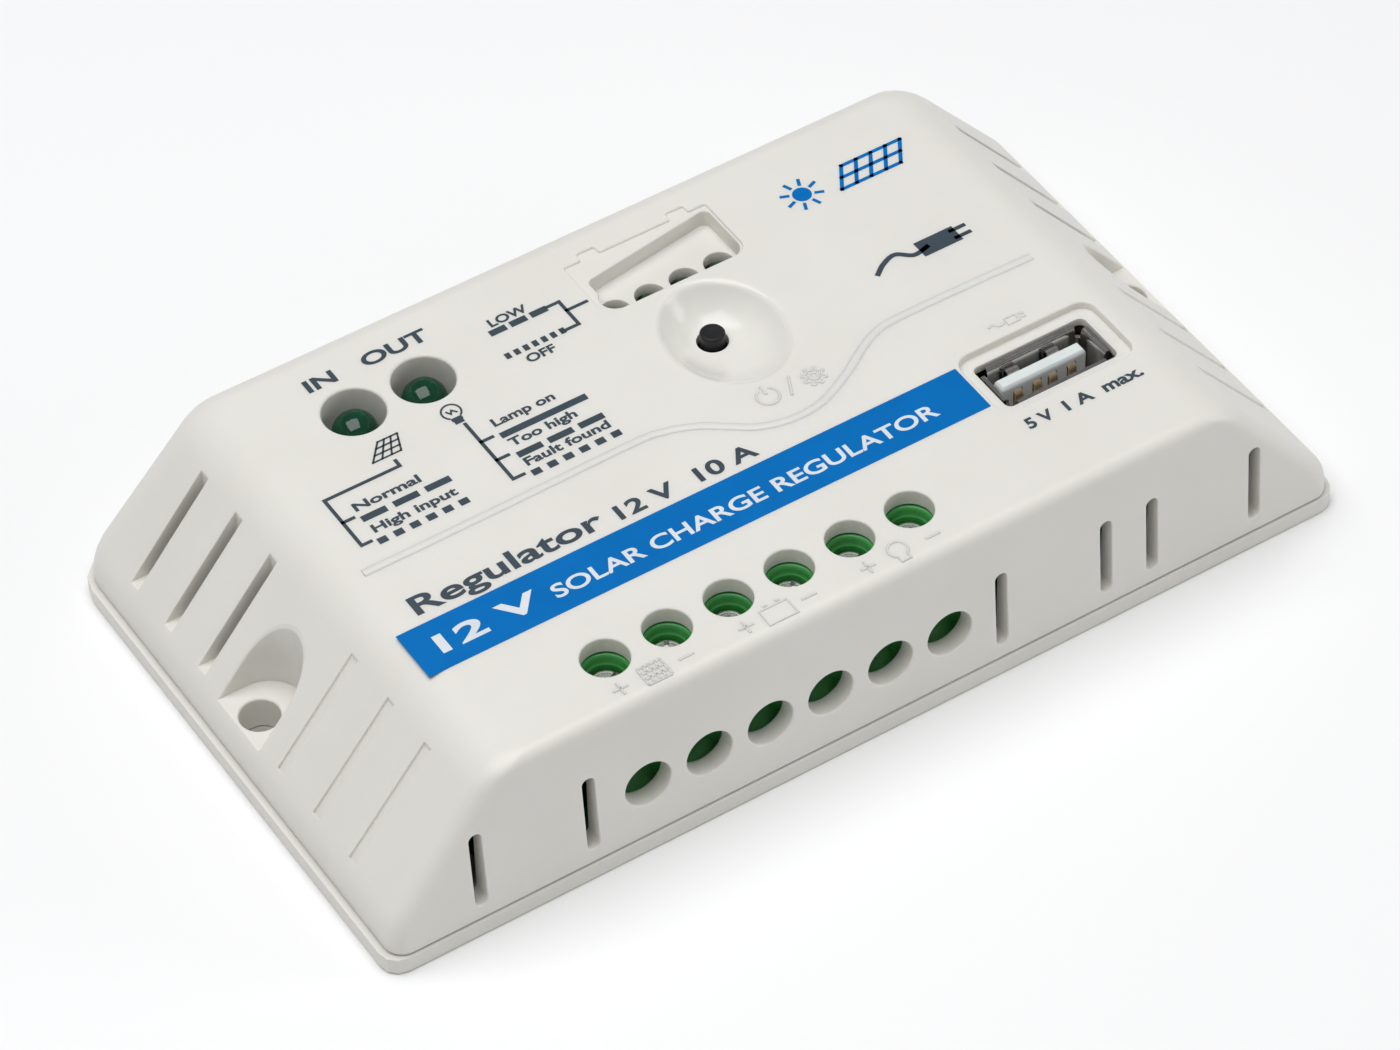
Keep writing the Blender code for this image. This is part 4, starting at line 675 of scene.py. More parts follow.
def makeTopCover():
    lip = caseShape["holeEdge"]
    bm = bmesh.new()
    loft(bm, [coverRing(z) for z in coverLevels()])
    cover = newPiece("topCover", bm)
    cut(cover, cavityTool())

    for place in lampPlaces:  # a collar round each indicator lamp
        collar = bmesh.new()
        collarRadius = holes["lamp"] / 2 + holes["collar"]
        turned(collar, [(collarRadius, z) for z in (holes["collarLow"], ceiling + 0.0005)], place)
        cut(cover, collar, "UNION")
        hole = bmesh.new()
        turned(hole, [(holes["lampSeat"] / 2, z) for z in (holes["collarLow"] - 0.001, ceiling)], place)
        cut(cover, hole)
    down = bmesh.new()
    for place in poles:
        flared(down, roundShape(place, holes["screw"] / 2), onTop, lip, top - ceiling + 0.001)
    for place in lampPlaces:
        flared(down, roundShape(place, holes["lamp"] / 2), onTop, lip * 1.5, top - holes["lampFloor"])
    cut(cover, down)

    across = bmesh.new()
    reach = caseShape["frontWall"] + 0.001
    for x, _ in poles:
        flared(across, roundShape((x, holes["wireHeight"]), holes["wire"] / 2), onFront, lip, reach)
    for x in ventPlaces:
        size = (holes["ventWidth"], holes["ventHigh"] - holes["ventLow"])
        middle = (x, (holes["ventHigh"] + holes["ventLow"]) / 2)
        flared(across, boxShape(middle, size, size[0] * 0.49), onFront, lip * 0.7, reach)
    cut(cover, across)

    socketMouth = bmesh.new()
    flared(socketMouth, boxShape(usbPlace, usbOpening["recess"], usbOpening["recessCorner"]), onTop, lip,
           usbOpening["recessDepth"])
    cut(cover, socketMouth)
    socketHole = bmesh.new()
    stacked(socketHole, boxShape(usbPlace, usbOpening["opening"], usbOpening["openingCorner"]),
            ((ceiling - 0.001, 0.0), (top - 0.0004, 0.0)))
    cut(cover, socketHole)

    cut(cover, dishTool())

    g = gauge
    corners = gaugeCorners()
    radii = [g["corner"] if i in (0, 1) else 0.0003 for i in range(len(corners))]
    recess = bmesh.new()
    flared(recess, lambda grow: outline(corners, radii, grow), onTop, 0.00022, g["depth"])
    cut(cover, recess)
    rim = g["pocketRim"]
    left, right = g["centre"] - g["width"] / 2 + g["pocketLeft"], g["centre"] + g["width"] / 2 - rim
    near, far = g["pocketDepths"]
    start = g["front"] + rim
    wedge = [(left, start), (right, start), (right, g["front"] + far), (left, g["front"] + near)]
    wedgeRadii = [g["corner"], g["corner"], g["corner"] / 2, g["corner"] / 2]
    pocket = bmesh.new()
    flared(pocket, lambda grow: outline(wedge, wedgeRadii, grow),
           lambda u, v, depth: (u, v, top - g["depth"] - depth), 0.00018, g["pocket"] - g["depth"], 0.0001)
    cut(cover, pocket)
    gaugeHoles = bmesh.new()
    for place in gaugePlaces:
        flared(gaugeHoles, roundShape(place, g["hole"] / 2),
               lambda u, v, depth: (u, v, top - g["pocket"] - depth), 0.0001, 0.0025, 0.00215)
    cut(cover, gaugeHoles)

    recesses, bores = bmesh.new(), bmesh.new()
    radius = mount["width"] / 2
    centre = mount["spacing"] / 2 - mount["backset"]
    for side in (-1, 1):
        def ushape(grow):
            spin = [pi / 2 + pi * i / 36 for i in range(37)]
            bend = [(centre + (radius + grow) * cos(a), (radius + grow) * sin(a)) for a in spin]
            out = 0.0615
            steps = [centre + (out - centre) * i / 14 for i in range(1, 15)]
            return bend + [(x, -radius - grow) for x in steps] + [(x, radius + grow) for x in reversed(steps)]
        flared(recesses, ushape, onSlope(side, mount["floor"]), 0.00035, 1.0)
        hole, wider, seat = mount["hole"] / 2, mount["hole"] / 2 + 0.00015, mount["floor"]
        turned(bores, [(hole, -0.001), (hole, seat - 0.00015), (wider, seat + 0.00002),
                       (wider, seat + 0.001)],
               (side * mount["spacing"] / 2, 0))
        for y in (-boss["y"], boss["y"]):
            turned(bores, [(0.0013, foot - 0.001), (0.0013, 0.0091)], (side * boss["x"], y), 24)
    cut(cover, recesses)
    cut(cover, bores)

    vents, grooves = bmesh.new(), bmesh.new()
    v = endVents
    inner, outer = halfLength(top - v["drop"]), shoulder + (top - v["low"]) / slopeRate
    for i in range(v["count"]):
        y = v["first"] + v["pitch"] * i
        for side in (-1, 1):
            def strip(y, width, far):
                half = width / 2
                def shape(grow):
                    xs = [inner - grow + (far - inner + 2 * grow) * k / 24 for k in range(25)]
                    return [(x, y - half - grow) for x in xs] + [(x, y + half + grow) for x in reversed(xs)]
                return shape
            flared(vents, strip(y, v["width"], outer + 0.0001), onSlope(side, v["low"]), 0.00012, 1.0)
            flared(grooves, strip(-y, v["grooveWidth"], outer), onSlope(side), 0.00010, v["grooveDepth"])
    cut(cover, vents)
    cut(cover, grooves)
    smooth(cover, 34)
    dress(cover, looks["housing"], stands=["top_cover"])
    cover.data.materials.append(looks["dish"])
    (cx, cy) = dish["centre"]
    for polygon in cover.data.polygons:
        x, y, z = polygon.center
        away = ((x - cx) / (dish["halfWidth"] + 0.0002)) ** 2 + ((y - cy) / (dish["halfDepth"] + 0.0002)) ** 2
        if away < 1 and polygon.normal.z > 0.1 and top - 0.0037 < z < top - 0.00002:
            polygon.material_index = 1
    print("top cover:", len(cover.data.polygons), "faces")


makeTopCover()


# screw terminals: green blocks with a funnel and a bore for each pole

terminal = {"bore": 0.0043, "shankHole": 0.0032, "lip": 0.00042, "step": 0.00055, "headSink": 0.0015,
            "headHeight": 0.0016,
            "chamber": (0.006, 0.0028, 0.0042), "chamberTop": 0.0155, "mouth": 0.0066, "throat": 0.0036,
            "wireHeight": holes["wireHeight"], "edge": 0.00015}


def makeTerminalBlock(name, poleXs):
    t = terminal
    (x0, y0, z0), (x1, y1, z1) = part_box(f"terminal_block_{name}")
    bm = bmesh.new()
    middle, size, edge = ((x0 + x1) / 2, (y0 + y1) / 2), (x1 - x0, y1 - y0), t["edge"]
    stacked(bm, boxShape(middle, size, 0.0003), ((z0, -edge), (z0 + edge, 0), (z1 - edge, 0), (z1, -edge)))
    block = newPiece(f"terminalBlock.{name}", bm)
    poleY = poles[0][1]
    ledge = z1 - t["headSink"] - t["headHeight"] - 0.0003
    bores, chambers, funnels = bmesh.new(), bmesh.new(), bmesh.new()
    for x in poleXs:
        r, lip, shank = t["bore"] / 2, t["lip"], t["shankHole"] / 2
        start, wider = z1 - t["step"], r + 0.00016
        profile = [(shank, t["chamberTop"] - 0.001), (shank, ledge), (r, ledge), (r, start - 0.0006)]
        profile += [(r + 0.0001, start - 0.0005), (wider, start - 0.0003), (wider, start)]
        for k in range(1, 9):
            a = pi / 2 * k / 8
            profile.append((wider + lip * (1 - cos(a)), start + t["step"] * sin(a)))
        profile.append((profile[-1][0] + 0.00001, z1 + 0.001))
        turned(bores, profile, (x, poleY), 48)
        wide, ahead, behind = t["chamber"]
        slab(chambers, (x - wide / 2, poleY - ahead, z0 - 0.001),
             (x + wide / 2, poleY + behind, t["chamberTop"]))
        rings = []
        for y, side in ((y0 - 0.001, t["mouth"]), (y0 + 0.0005, t["mouth"] - 0.0006),
                        (y0 + 0.0019, t["throat"]), (poleY - ahead + 0.0005, t["throat"])):
            h = side / 2
            square = [(x - h, -h), (x + h, -h), (x + h, h), (x - h, h)]
            rings.append([(u, y, t["wireHeight"] + w) for u, w in square])
        loft(funnels, rings)
    cut(block, bores)
    cut(block, chambers)
    cut(block, funnels)
    smooth(block, 32)
    dress(block, looks["terminal"], stands=[f"terminal_block_{name}"])


for index, name in enumerate(("pv", "battery", "load")):
    makeTerminalBlock(name, [poles[2 * index][0], poles[2 * index + 1][0]])

screwHead = {"slot": (0.0034, 0.00052, 0.00075), "cross": (0.0021, 0.00052, 0.0006), "shank": 0.0026,
             "edge": 0.00028, "recess": 0.00012, "pitch": 0.00032, "turns": (18, 64, -25, 40, 8, -52)}


def makeTerminalScrew(number):
    s = screwHead
    nodeLow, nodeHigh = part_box(f"terminal_screw_{number}")
    z0, z1 = nodeLow[2], nodeHigh[2]
    place, head = poles[number - 1], (nodeHigh[0] - nodeLow[0]) / 2
    under = z1 - terminal["headHeight"]
    shank, edge = s["shank"] / 2, s["edge"]
    profile = [(shank * 0.5, z0), (shank * 0.8, z0 + 0.0003)]
    turns = int((under - 0.0006 - z0 - 0.0003) / s["pitch"])
    for i in range(turns):
        z = z0 + 0.00035 + i * s["pitch"]
        profile += [(shank * 0.84, z), (shank, z + s["pitch"] * 0.5)]
    profile += [(shank * 0.86, under - 0.0003), (shank * 0.86, under), (head - 0.0001, under),
                (head, under + 0.0001)]
    for k in range(7):
        a = pi / 2 * k / 6
        profile.append((head - edge * (1 - cos(a)), z1 - edge * (1 - sin(a))))
    profile += [(head * 0.74, z1 - 0.00003), (head * 0.70, z1 - s["recess"]),
                (head * 0.3, z1 - s["recess"] - 0.00002)]
    bm = bmesh.new()
    turned(bm, profile, place, 48)
    screw = newPiece(f"terminalScrew.{number}", bm)
    x, y = place
    for arm, turn in ((s["slot"], 0), (s["cross"], pi / 2)):
        length, width, depth = arm
        tool = bmesh.new()
        rings = []
        for z, grow in ((z1 - depth, -0.00008), (z1 - 0.00022, 0.0), (z1 + 0.0005, 0.00006)):
            w, h = length / 2 + grow, width / 2 + grow
            rings.append([(x + a * cos(turn) - b * sin(turn), y + a * sin(turn) + b * cos(turn), z)
                          for a, b in ((-w, -h), (w, -h), (w, h), (-w, h))])
        loft(tool, rings)
        cut(screw, tool)
    spin = Matrix.Rotation(math.radians(s["turns"][number - 1]), 4, "Z")
    screw.data.transform(Matrix.Translation((x, y, 0)) @ spin @ Matrix.Translation((-x, -y, 0)))
    smooth(screw, 38)
    dress(screw, looks["screwSteel"], f"screw_{number}", [f"terminal_screw_{number}"])


for number in range(1, 7):
    makeTerminalScrew(number)
print("terminals made")


# USB socket: flared shell, spring fingers, tongue and contacts

socket = {"wall": 0.0004, "corner": 0.0009, "flare": 0.00042, "flareHeight": 0.0011, "notch": 0.0008,
          "tongue": (0.0111, 0.00184, 0.0007), "base": 0.004, "taper": 0.00035, "fingerWidth": 0.0015,
          "fingerAt": (-0.0030, 0.0022), "groove": 0.0012}


def ribbon(bm, path, width, thickness, centreX):
    # a flat strip bent along a path of (y, z) points
    rings = []
    for i, (y, z) in enumerate(path):
        before, after = path[max(i - 1, 0)], path[min(i + 1, len(path) - 1)]
        along = Vector((after[0] - before[0], after[1] - before[1])).normalized()
        off = Vector((-along.y, along.x)) * thickness / 2
        rings.append([(centreX + sx * width / 2, y + s * off.x, z + s * off.y)
                      for sx, s in ((-1, -1), (1, -1), (1, 1), (-1, 1))])
    loft(bm, rings)


def makeSocket():
    s = socket
    (x0, y0, z0), (x1, y1, z1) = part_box("usb_shell")
    size = (x1 - x0, y1 - y0)
    levels = [(z0, 0.0), (z1 - s["flareHeight"], 0.0)]
    for k in range(1, 7):
        share = k / 6
        a = pi / 2 * share
        levels.append((z1 - s["flareHeight"] * (1 - sin(a)), s["flare"] * (1 - cos(a))))
    outer, inner = bmesh.new(), bmesh.new()
    stacked(outer, boxShape(usbPlace, size, s["corner"]), levels)
    shell = newPiece("socketShell", outer)
    hollow = [(z0 - 0.001, -s["wall"])] + [(z, grow - s["wall"]) for z, grow in levels[1:-1]]
    hollow.append((z1 + 0.0002, s["flare"] - s["wall"] + 0.00025))
    stacked(inner, boxShape(usbPlace, size, s["corner"]), hollow)
    cut(shell, inner)
    notches = bmesh.new()
    for sx in (-1, 1):
        for sy in (-1, 1):
            x, y = usbPlace[0] + sx * size[0] / 2, usbPlace[1] + sy * size[1] / 2
            n = s["notch"]
            slab(notches, (x - n, y - n, z1 - s["flareHeight"] - 0.0003), (x + n, y + n, z1 + 0.001))
    cut(shell, notches)
    smooth(shell, 45)
    fingers = bmesh.new()
    wallY = y1 - s["wall"]
    for offset in s["fingerAt"]:
        path = [(wallY + 0.0001, z1 - 0.0022), (wallY - 0.0001, z1 - 0.0015)]
        for k in range(9):
            a = pi * k / 8
            path.append((wallY - 0.00045 + 0.00042 * cos(a), z1 - 0.0012 + 0.00042 * sin(a)))
        path += [(wallY - 0.00075, z1 - 0.0025), (wallY - 0.0002, z1 - 0.0055)]
        ribbon(fingers, path, s["fingerWidth"], 0.00022, usbPlace[0] + offset)
    spring = newPiece("socketSprings", fingers)
    smooth(spring, 60)
    dress(shell, looks["socketSteel"], stands=["usb_shell"])
    dress(spring, looks["socketSteel"])

    (bx0, by0, bz0), (bx1, by1, bz1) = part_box("usb_insulator")
    length, thick, behind = s["tongue"]
    back = y1 - s["wall"] - behind
    face = back - thick
    bm = bmesh.new()
    slab(bm, (bx0, by0, bz0), (bx1, by1, bz0 + s["base"]))
    body = newPiece("socketTongue", bm)
    bm = bmesh.new()
    middle = (usbPlace[0], (face + back) / 2)
    stacked(bm, lambda grow: rectangle(middle, (length, thick), 0.00035, grow, 4),
            ((bz0 + s["base"] - 0.001, 0.0), (bz1 - 0.00055, 0.0), (bz1 - 0.00018, -0.00018),
             (bz1, -s["taper"])))
    cut(body, bm, "UNION")
    grooves = bmesh.new()
    for i in range(1, 5):
        (cx0, cy0, cz0), (cx1, cy1, cz1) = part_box(f"usb_contact_{i}")
        x, half = (cx0 + cx1) / 2, s["groove"] / 2
        slab(grooves, (x - half, cy0 - 0.0006, bz0 - 0.001), (x + half, cy1 + 0.0003, cz1 + 0.00025))
    cut(body, grooves)
    smooth(body, 30)
    dress(body, looks["socket"], stands=["usb_insulator"])
    for i in range(1, 5):
        (cx0, cy0, cz0), (cx1, cy1, cz1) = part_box(f"usb_contact_{i}")
        y = (cy0 + cy1) / 2
        bm = bmesh.new()
        path = [(y, cz0), (y, cz1 - 0.0022), (y - 0.00028, cz1 - 0.0012), (y - 0.00036, cz1 - 0.0008),
                (y - 0.00028, cz1 - 0.0004), (y, cz1 - 0.0001), (y + 0.0001, cz1)]
        ribbon(bm, path, cx1 - cx0, 0.00025, (cx0 + cx1) / 2)
        contact = newPiece(f"socketContact.{i}", bm)
        smooth(contact, 60)
        dress(contact, looks["gold"], stands=[f"usb_contact_{i}"])


makeSocket()
print("socket made")


# push button and indicator lamps

knob = {"radius": 0.001425, "edge": 0.00032, "hollow": 0.00006, "foot": 0.0021, "footHeight": 0.0006}


def makeButton():
    k = knob
    nodeLow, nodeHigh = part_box("button")
    z0, z1, radius = nodeLow[2], nodeHigh[2], k["radius"]
    shelf = z0 + k["footHeight"]
    profile = [(k["foot"], z0), (k["foot"], shelf), (radius, shelf), (radius, z1 - k["edge"])]
    for i in range(1, 9):
        a = pi / 2 * i / 8
        profile.append((radius - k["edge"] * (1 - cos(a)), z1 - k["edge"] * (1 - sin(a))))
    profile += [(radius * 0.5, z1 - k["hollow"]), (radius * 0.15, z1 - k["hollow"] * 1.4)]
    bm = bmesh.new()
    turned(bm, profile, buttonPlace, 56)
    button = newPiece("pushButton", bm)
    smooth(button, 50)
    dress(button, looks["black"], "button", ["button"])


lampShapes = {"status": {"height": 0.0086, "body": 0.0026, "flange": 0.0030, "flangeHeight": 0.001,
                         "leads": 0.00254, "lead": 0.0005, "glint": 0.00085, "tip": 0.0004},
              "gauge": {"height": 0.0051, "body": 0.00145, "flange": 0.00165, "flangeHeight": 0.001,
                        "leads": 0.0013, "lead": 0.0004, "glint": 0.0005, "tip": 0.0003}}


def makeLamp(node, kind):
    s = lampShapes[kind]
    nodeLow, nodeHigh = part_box(node)
    z0, z1 = nodeLow[2], nodeHigh[2]
    place = centreOf(node)
    low = z1 - s["height"]
    ledge = low + s["flangeHeight"]
    profile = [(s["flange"] - 0.0001, low), (s["flange"], low + 0.0001), (s["flange"], ledge - 0.0001),
               (s["flange"] - 0.0001, ledge), (s["body"], ledge)]
    for i in range(15):
        a = pi / 2 * i / 15
        profile.append((s["body"] * cos(a), z1 - s["body"] + s["body"] * sin(a)))
    bm = bmesh.new()
    turned(bm, profile, place, 48)
    lens = newPiece(f"lens.{node}", bm)
    smooth(lens, 50)
    dress(lens, looks["lens"], stands=[node])
    # leads, with a post on each side that glints through the lens
    frameParts = bmesh.new()
    for side in (-1, 1):
        x, half = place[0] + side * s["leads"] / 2, s["lead"] / 2
        slab(frameParts, (x - half, place[1] - half, z0), (x + half, place[1] + half, low + 0.0002))
        tip = z1 - s["tip"]
        turned(frameParts, [(s["lead"] * 0.4, low + 0.0004), (s["lead"] * 0.5, tip - 0.0004),
                            (s["lead"] * 0.55, tip - 0.0001), (s["lead"] * 0.3, tip)],
               (place[0] + side * s["glint"], place[1]), 16)
    leads = newPiece(f"leads.{node}", frameParts)
    smooth(leads, 40)
    dress(leads, looks["tin"])


makeButton()
for node in ("pv_led", "load_led"):
    makeLamp(node, "status")
for index in range(1, 5):
    makeLamp(f"gauge_led_{index}", "gauge")
print("button and lamps made")


# raised lines and signs moulded into the top

def polyline(points, closed=False):
    mesh = bpy.data.meshes.new("path")
    edges = [(i, i + 1) for i in range(len(points) - 1)] + ([(len(points) - 1, 0)] if closed else [])
    mesh.from_pydata([(x, y, 0.0) for x, y in points], edges, [])
    return mesh


def arcPoints(centre, radius, start, end, steps=20):
    angles = [math.radians(start + (end - start) * i / steps) for i in range(steps + 1)]
    return [(centre[0] + radius * cos(a), centre[1] + radius * sin(a)) for a in angles]


def flowing(points, steps=8):
    # a smooth line through the points
    result = []
    for i in range(len(points) - 1):
        p0, p1 = Vector(points[max(i - 1, 0)]), Vector(points[i])
        p2, p3 = Vector(points[i + 1]), Vector(points[min(i + 2, len(points) - 1)])
        for k in range(steps):
            t = k / steps
            result.append(tuple(0.5 * (2 * p1 + (p2 - p0) * t + (2 * p0 - 5 * p1 + 4 * p2 - p3) * t**2
                                       + (3 * p1 - p0 - 3 * p2 + p3) * t**3)))
    return result + [points[-1]]


def gearPoints(centre, inner, outer, teeth):
    points = []
    for i in range(teeth):
        for share, radius in ((0.0, inner), (0.18, outer), (0.42, outer), (0.6, inner)):
            a = 2 * pi * (i + share) / teeth
            points.append((centre[0] + radius * cos(a), centre[1] + radius * sin(a)))
    return points


def lineAt(place, *points, closed=False):
    # one line, its points counted from a place
    return ([(place[0] + x, place[1] + y) for x, y in points], closed)


def plusMinus(plus, minus, arm):
    return [lineAt(plus, (-arm, 0), (arm, 0)), lineAt(plus, (0, -arm), (0, arm)),
            lineAt(minus, (-arm, 0), (arm, 0))]


def panelLines(low, high, levels, cells):
    # a panel whose far edge is shorter than its near one
    lines = []
    for i in range(cells + 1):
        share = i / cells
        near, far = low[0] + (low[1] - low[0]) * share, high[0] + (high[1] - high[0]) * share
        lines.append(([(near, levels[0]), (far, levels[1])], False))
        edge = [(a + (b - a) * share, levels[0] + (levels[1] - levels[0]) * share) for a, b in zip(low, high)]
        lines.append((edge, False))
    return lines


def gridLines(centre, width, depth, columns, rows, lean=0.0):
    cx, cy = centre
    lines = []
    for i in range(columns + 1):
        x = cx - width / 2 + width * i / columns
        lines.append(([(x - lean / 2, cy - depth / 2), (x + lean / 2, cy + depth / 2)], False))
    for j in range(rows + 1):
        share = j / rows - 0.5
        lines.append(([(cx + side * width / 2 + lean * share, cy + depth * share) for side in (-1, 1)],
                      False))
    return lines


moulded = {"flowWidth": 0.00105, "flowRise": 0.00022, "signWidth": 0.00034, "signRise": 0.00016,
           "rowY": -0.0296, "arm": 0.0009, "power": (0.0060, -0.0031), "cog": (0.0117, -0.0033),
           "plug": (0.0338, -0.0080)}
flow = [(-0.0429, -0.0013), (-0.0385, -0.0013), (-0.0260, -0.0012), (-0.0100, -0.0010), (-0.0060, -0.0014),
        (-0.0026, -0.0027), (0.0000, -0.0045), (0.0026, -0.0063), (0.0060, -0.0073), (0.0095, -0.0072),
        (0.0123, -0.0062), (0.0155, -0.0045), (0.0178, -0.0030), (0.0205, -0.0016), (0.0235, -0.0010),
        (0.0320, -0.0010), (0.0414, -0.0012)]


def makeMouldedSigns():
    m = moulded
    row, arm, power, cog, plug = (0, m["rowY"]), m["arm"], m["power"], m["cog"], m["plug"]
    plusX, minusX = (-0.0293, -0.0141, 0.0009), (-0.0214, -0.0064, 0.0090)
    pairs = [plusMinus((plus, row[1]), (minus, row[1]), arm) for plus, minus in zip(plusX, minusX)]
    lines = [(arcPoints(power, 0.00125, 120, 420, 28), False), lineAt(power, (0, 0.0003), (0, 0.0017)),
             ([(0.0082, -0.0044), (0.0094, -0.0018)], False),
             (gearPoints(cog, 0.00095, 0.00135, 8), True), (arcPoints(cog, 0.0005, 0, 342, 18), True)]
    # a panel, a battery and a lamp, each between its plus and its minus
    lines += pairs[0] + gridLines((-0.0252, row[1]), 0.0028, 0.0024, 4, 3) + pairs[1]
    lines += [lineAt(row, (-0.0119, -0.0012), (-0.0085, -0.0012), (-0.0085, 0.0010), (-0.0119, 0.0010),
                     closed=True),
              lineAt(row, (-0.0112, 0.0014), (-0.0107, 0.0014)),
              lineAt(row, (-0.0097, 0.0014), (-0.0092, 0.0014))]
    lines += pairs[2]
    lines += [(arcPoints((0.0049, row[1] + 0.0004), 0.0011, -60, 240, 20), False),
              lineAt(row, (0.00435, -0.0006), (0.00435, -0.0013), (0.00545, -0.0013), (0.00545, -0.0006))]
    # a plug beside the socket
    cord = lineAt(plug, (-0.0007, 0), (-0.0014, -0.0001), (-0.0019, 0.0004), (-0.0026, 0.0002))[0]
    lines += [lineAt(plug, (-0.0004, -0.0005), (0.0010, -0.0005), (0.0010, 0.0005), (-0.0004, 0.0005),
                     closed=True)]
    lines += [lineAt(plug, (0.0013, y), (0.0019, y)) for y in (-0.00025, 0.00025)] + [(flowing(cord), False)]

    def ridge(points, closed, kind):
        values = {"Width": m[kind + "Width"], "Rise": m[kind + "Rise"], "Level": top,
                  "Material": looks["housing"]}
        return grown(ridgeTree, polyline(points, closed), values)
    ridges = [ridge(flowing(flow), False, "flow")]
    ridges += [ridge(points, closed, "sign") for points, closed in lines]
    piece = join("mouldedSigns", ridges)
    smooth(piece, 50)
    dress(piece, looks["housing"])


makeMouldedSigns()
print("moulded signs made")


# print on the top

ink = {"lift": 0.000008, "thick": 0.000022, "capital": 0.73}


def words(text, left, baseline, width, height, bold):
    # built-in lettering, scaled to a width and a capital height
    curve = bpy.data.curves.new("words", "FONT")
    curve.body = text
    curve.size = 1.0
    curve.offset = bold
    curve.fill_mode = "BOTH"
    curve.extrude = 0.5
    holder = bpy.data.objects.new("words", curve)
    scene.collection.objects.link(holder)
    mesh = evaluated(holder)
    bpy.data.objects.remove(holder)
    xs = [v.co.x for v in mesh.vertices]
    z = top + ink["lift"] + ink["thick"] / 2
    scale = Matrix.Diagonal((width / (max(xs) - min(xs)), height / ink["capital"], ink["thick"], 1))
    mesh.transform(Matrix.Translation((left, baseline, z)) @ scale @ Matrix.Translation((-min(xs), 0, 0)))
    return mesh


def strokes(bm, lines, width):
    # flat printed lines, each drawn as one closed strip
    low, high = top + ink["lift"], top + ink["lift"] + ink["thick"]
    for points, closed in lines:
        points = [Vector(p) for p in points]
        count = len(points)
        sides = []
        for i, here in enumerate(points):
            before = points[i - 1] if i or closed else None
            after = points[(i + 1) % count] if i < count - 1 or closed else None
            a = (here - before).normalized() if before is not None else (after - here).normalized()
            b = (after - here).normalized() if after is not None else a
            na, nb = Vector((-a.y, a.x)), Vector((-b.y, b.x))
            off = (na + nb) / max(1 + na.dot(nb), 0.2) * width / 2
            if before is None:
                here = here - a * width / 2
            if after is None:
                here = here + a * width / 2
            sides.append((here - off, here + off))
        rings = [[(p.x, p.y, low), (q.x, q.y, low), (q.x, q.y, high), (p.x, p.y, high)] for p, q in sides]
        if not closed:
            loft(bm, rings)
            continue
        rows = [[bm.verts.new(point) for point in ring] for ring in rings]
        for lower, upper in zip(rows, rows[1:] + rows[:1]):
            for i in range(4):
                j = (i + 1) % 4
                bm.faces.new((lower[i], lower[j], upper[j], upper[i]))


def barRow(start, end, y, count, share=0.72, width=0.00088):
    pitch = (end - start) / (count - 1 + share)
    size = (pitch * share, width, ink["thick"])
    first = (start + size[0] / 2, y, top + ink["lift"] + ink["thick"] / 2)
    return grown(rowTree, bpy.data.meshes.new("seed"), {
        "Count": count, "Start": first, "Step": (pitch, 0, 0), "Size": size, "Material": looks["slateInk"]})


legend = {
    "words": [("IN", -0.0343, 0.0245, 0.0036, 0.0019, 0.028), ("OUT", -0.0273, 0.0245, 0.0080, 0.0019, 0.028),
              ("Normal", -0.0390, 0.0067, 0.0080, 0.00122, 0.028),
              ("High input", -0.0389, 0.0030, 0.0102, 0.00122, 0.028),
              ("Lamp on", -0.0205, 0.0092, 0.0076, 0.00122, 0.028),
              ("Too high", -0.0205, 0.0057, 0.0082, 0.00122, 0.028),
              ("Fault found", -0.0206, 0.0024, 0.0104, 0.00122, 0.028),
              ("LOW", -0.0130, 0.0222, 0.0047, 0.00122, 0.028),
              ("OFF", -0.0124, 0.0153, 0.0035, 0.00122, 0.028),
              ("Regulator", -0.0412, -0.0095, 0.0229, 0.0027, 0.020),
              ("12 V  10 A", -0.0166, -0.0097, 0.0172, 0.0021, 0.026),
              ("5 V", 0.0263, -0.0226, 0.0033, 0.00155, 0.030),
              ("1 A  max.", 0.0312, -0.0226, 0.0099, 0.00155, 0.030)],
    "bars": [(-0.0391, -0.0283, 0.0054, 3, 0.78), (-0.0393, -0.0283, 0.0017, 6, 0.56),
             (-0.0207, -0.0100, 0.0077, 1, 1.0),
             (-0.0207, -0.0100, 0.0043, 3, 0.80), (-0.0208, -0.0098, 0.0012, 6, 0.56),
             (-0.0137, -0.0065, 0.0214, 3, 0.80), (-0.0141, -0.0066, 0.0175, 7, 0.56)],
    "lines": [[(-0.0318, 0.0108), (-0.0318, 0.0099), (-0.0410, 0.0099), (-0.0410, 0.0022), (-0.0399, 0.0022)],
              [(-0.0410, 0.0061), (-0.0397, 0.0061)],
              [(-0.0229, 0.0113), (-0.0229, 0.0016), (-0.0216, 0.0016)],
              [(-0.0229, 0.0081), (-0.0215, 0.0081)],
              [(-0.0229, 0.0049), (-0.0215, 0.0049)],
              [(-0.0066, 0.0215), (-0.0049, 0.0215), (-0.0049, 0.0174), (-0.0069, 0.0174)],
              [(-0.0049, 0.0199), (-0.0024, 0.0199)]],
    "line": 0.00042, "fine": 0.00022, "bulb": (-0.0232, 0.0137), "plug": (0.0345, 0.0064),
    "sun": (0.0262, 0.0209),
    "bandWords": [("12 V", -0.0417, -0.0154, 0.0121, 0.0026, 0.028),
                  ("SOLAR CHARGE REGULATOR", -0.0280, -0.0155, 0.0477, 0.0020, 0.018)],
}
band = {"low": (-0.04465, -0.0175), "high": (0.02480, -0.01076), "lift": 0.000004, "thick": 0.000014}


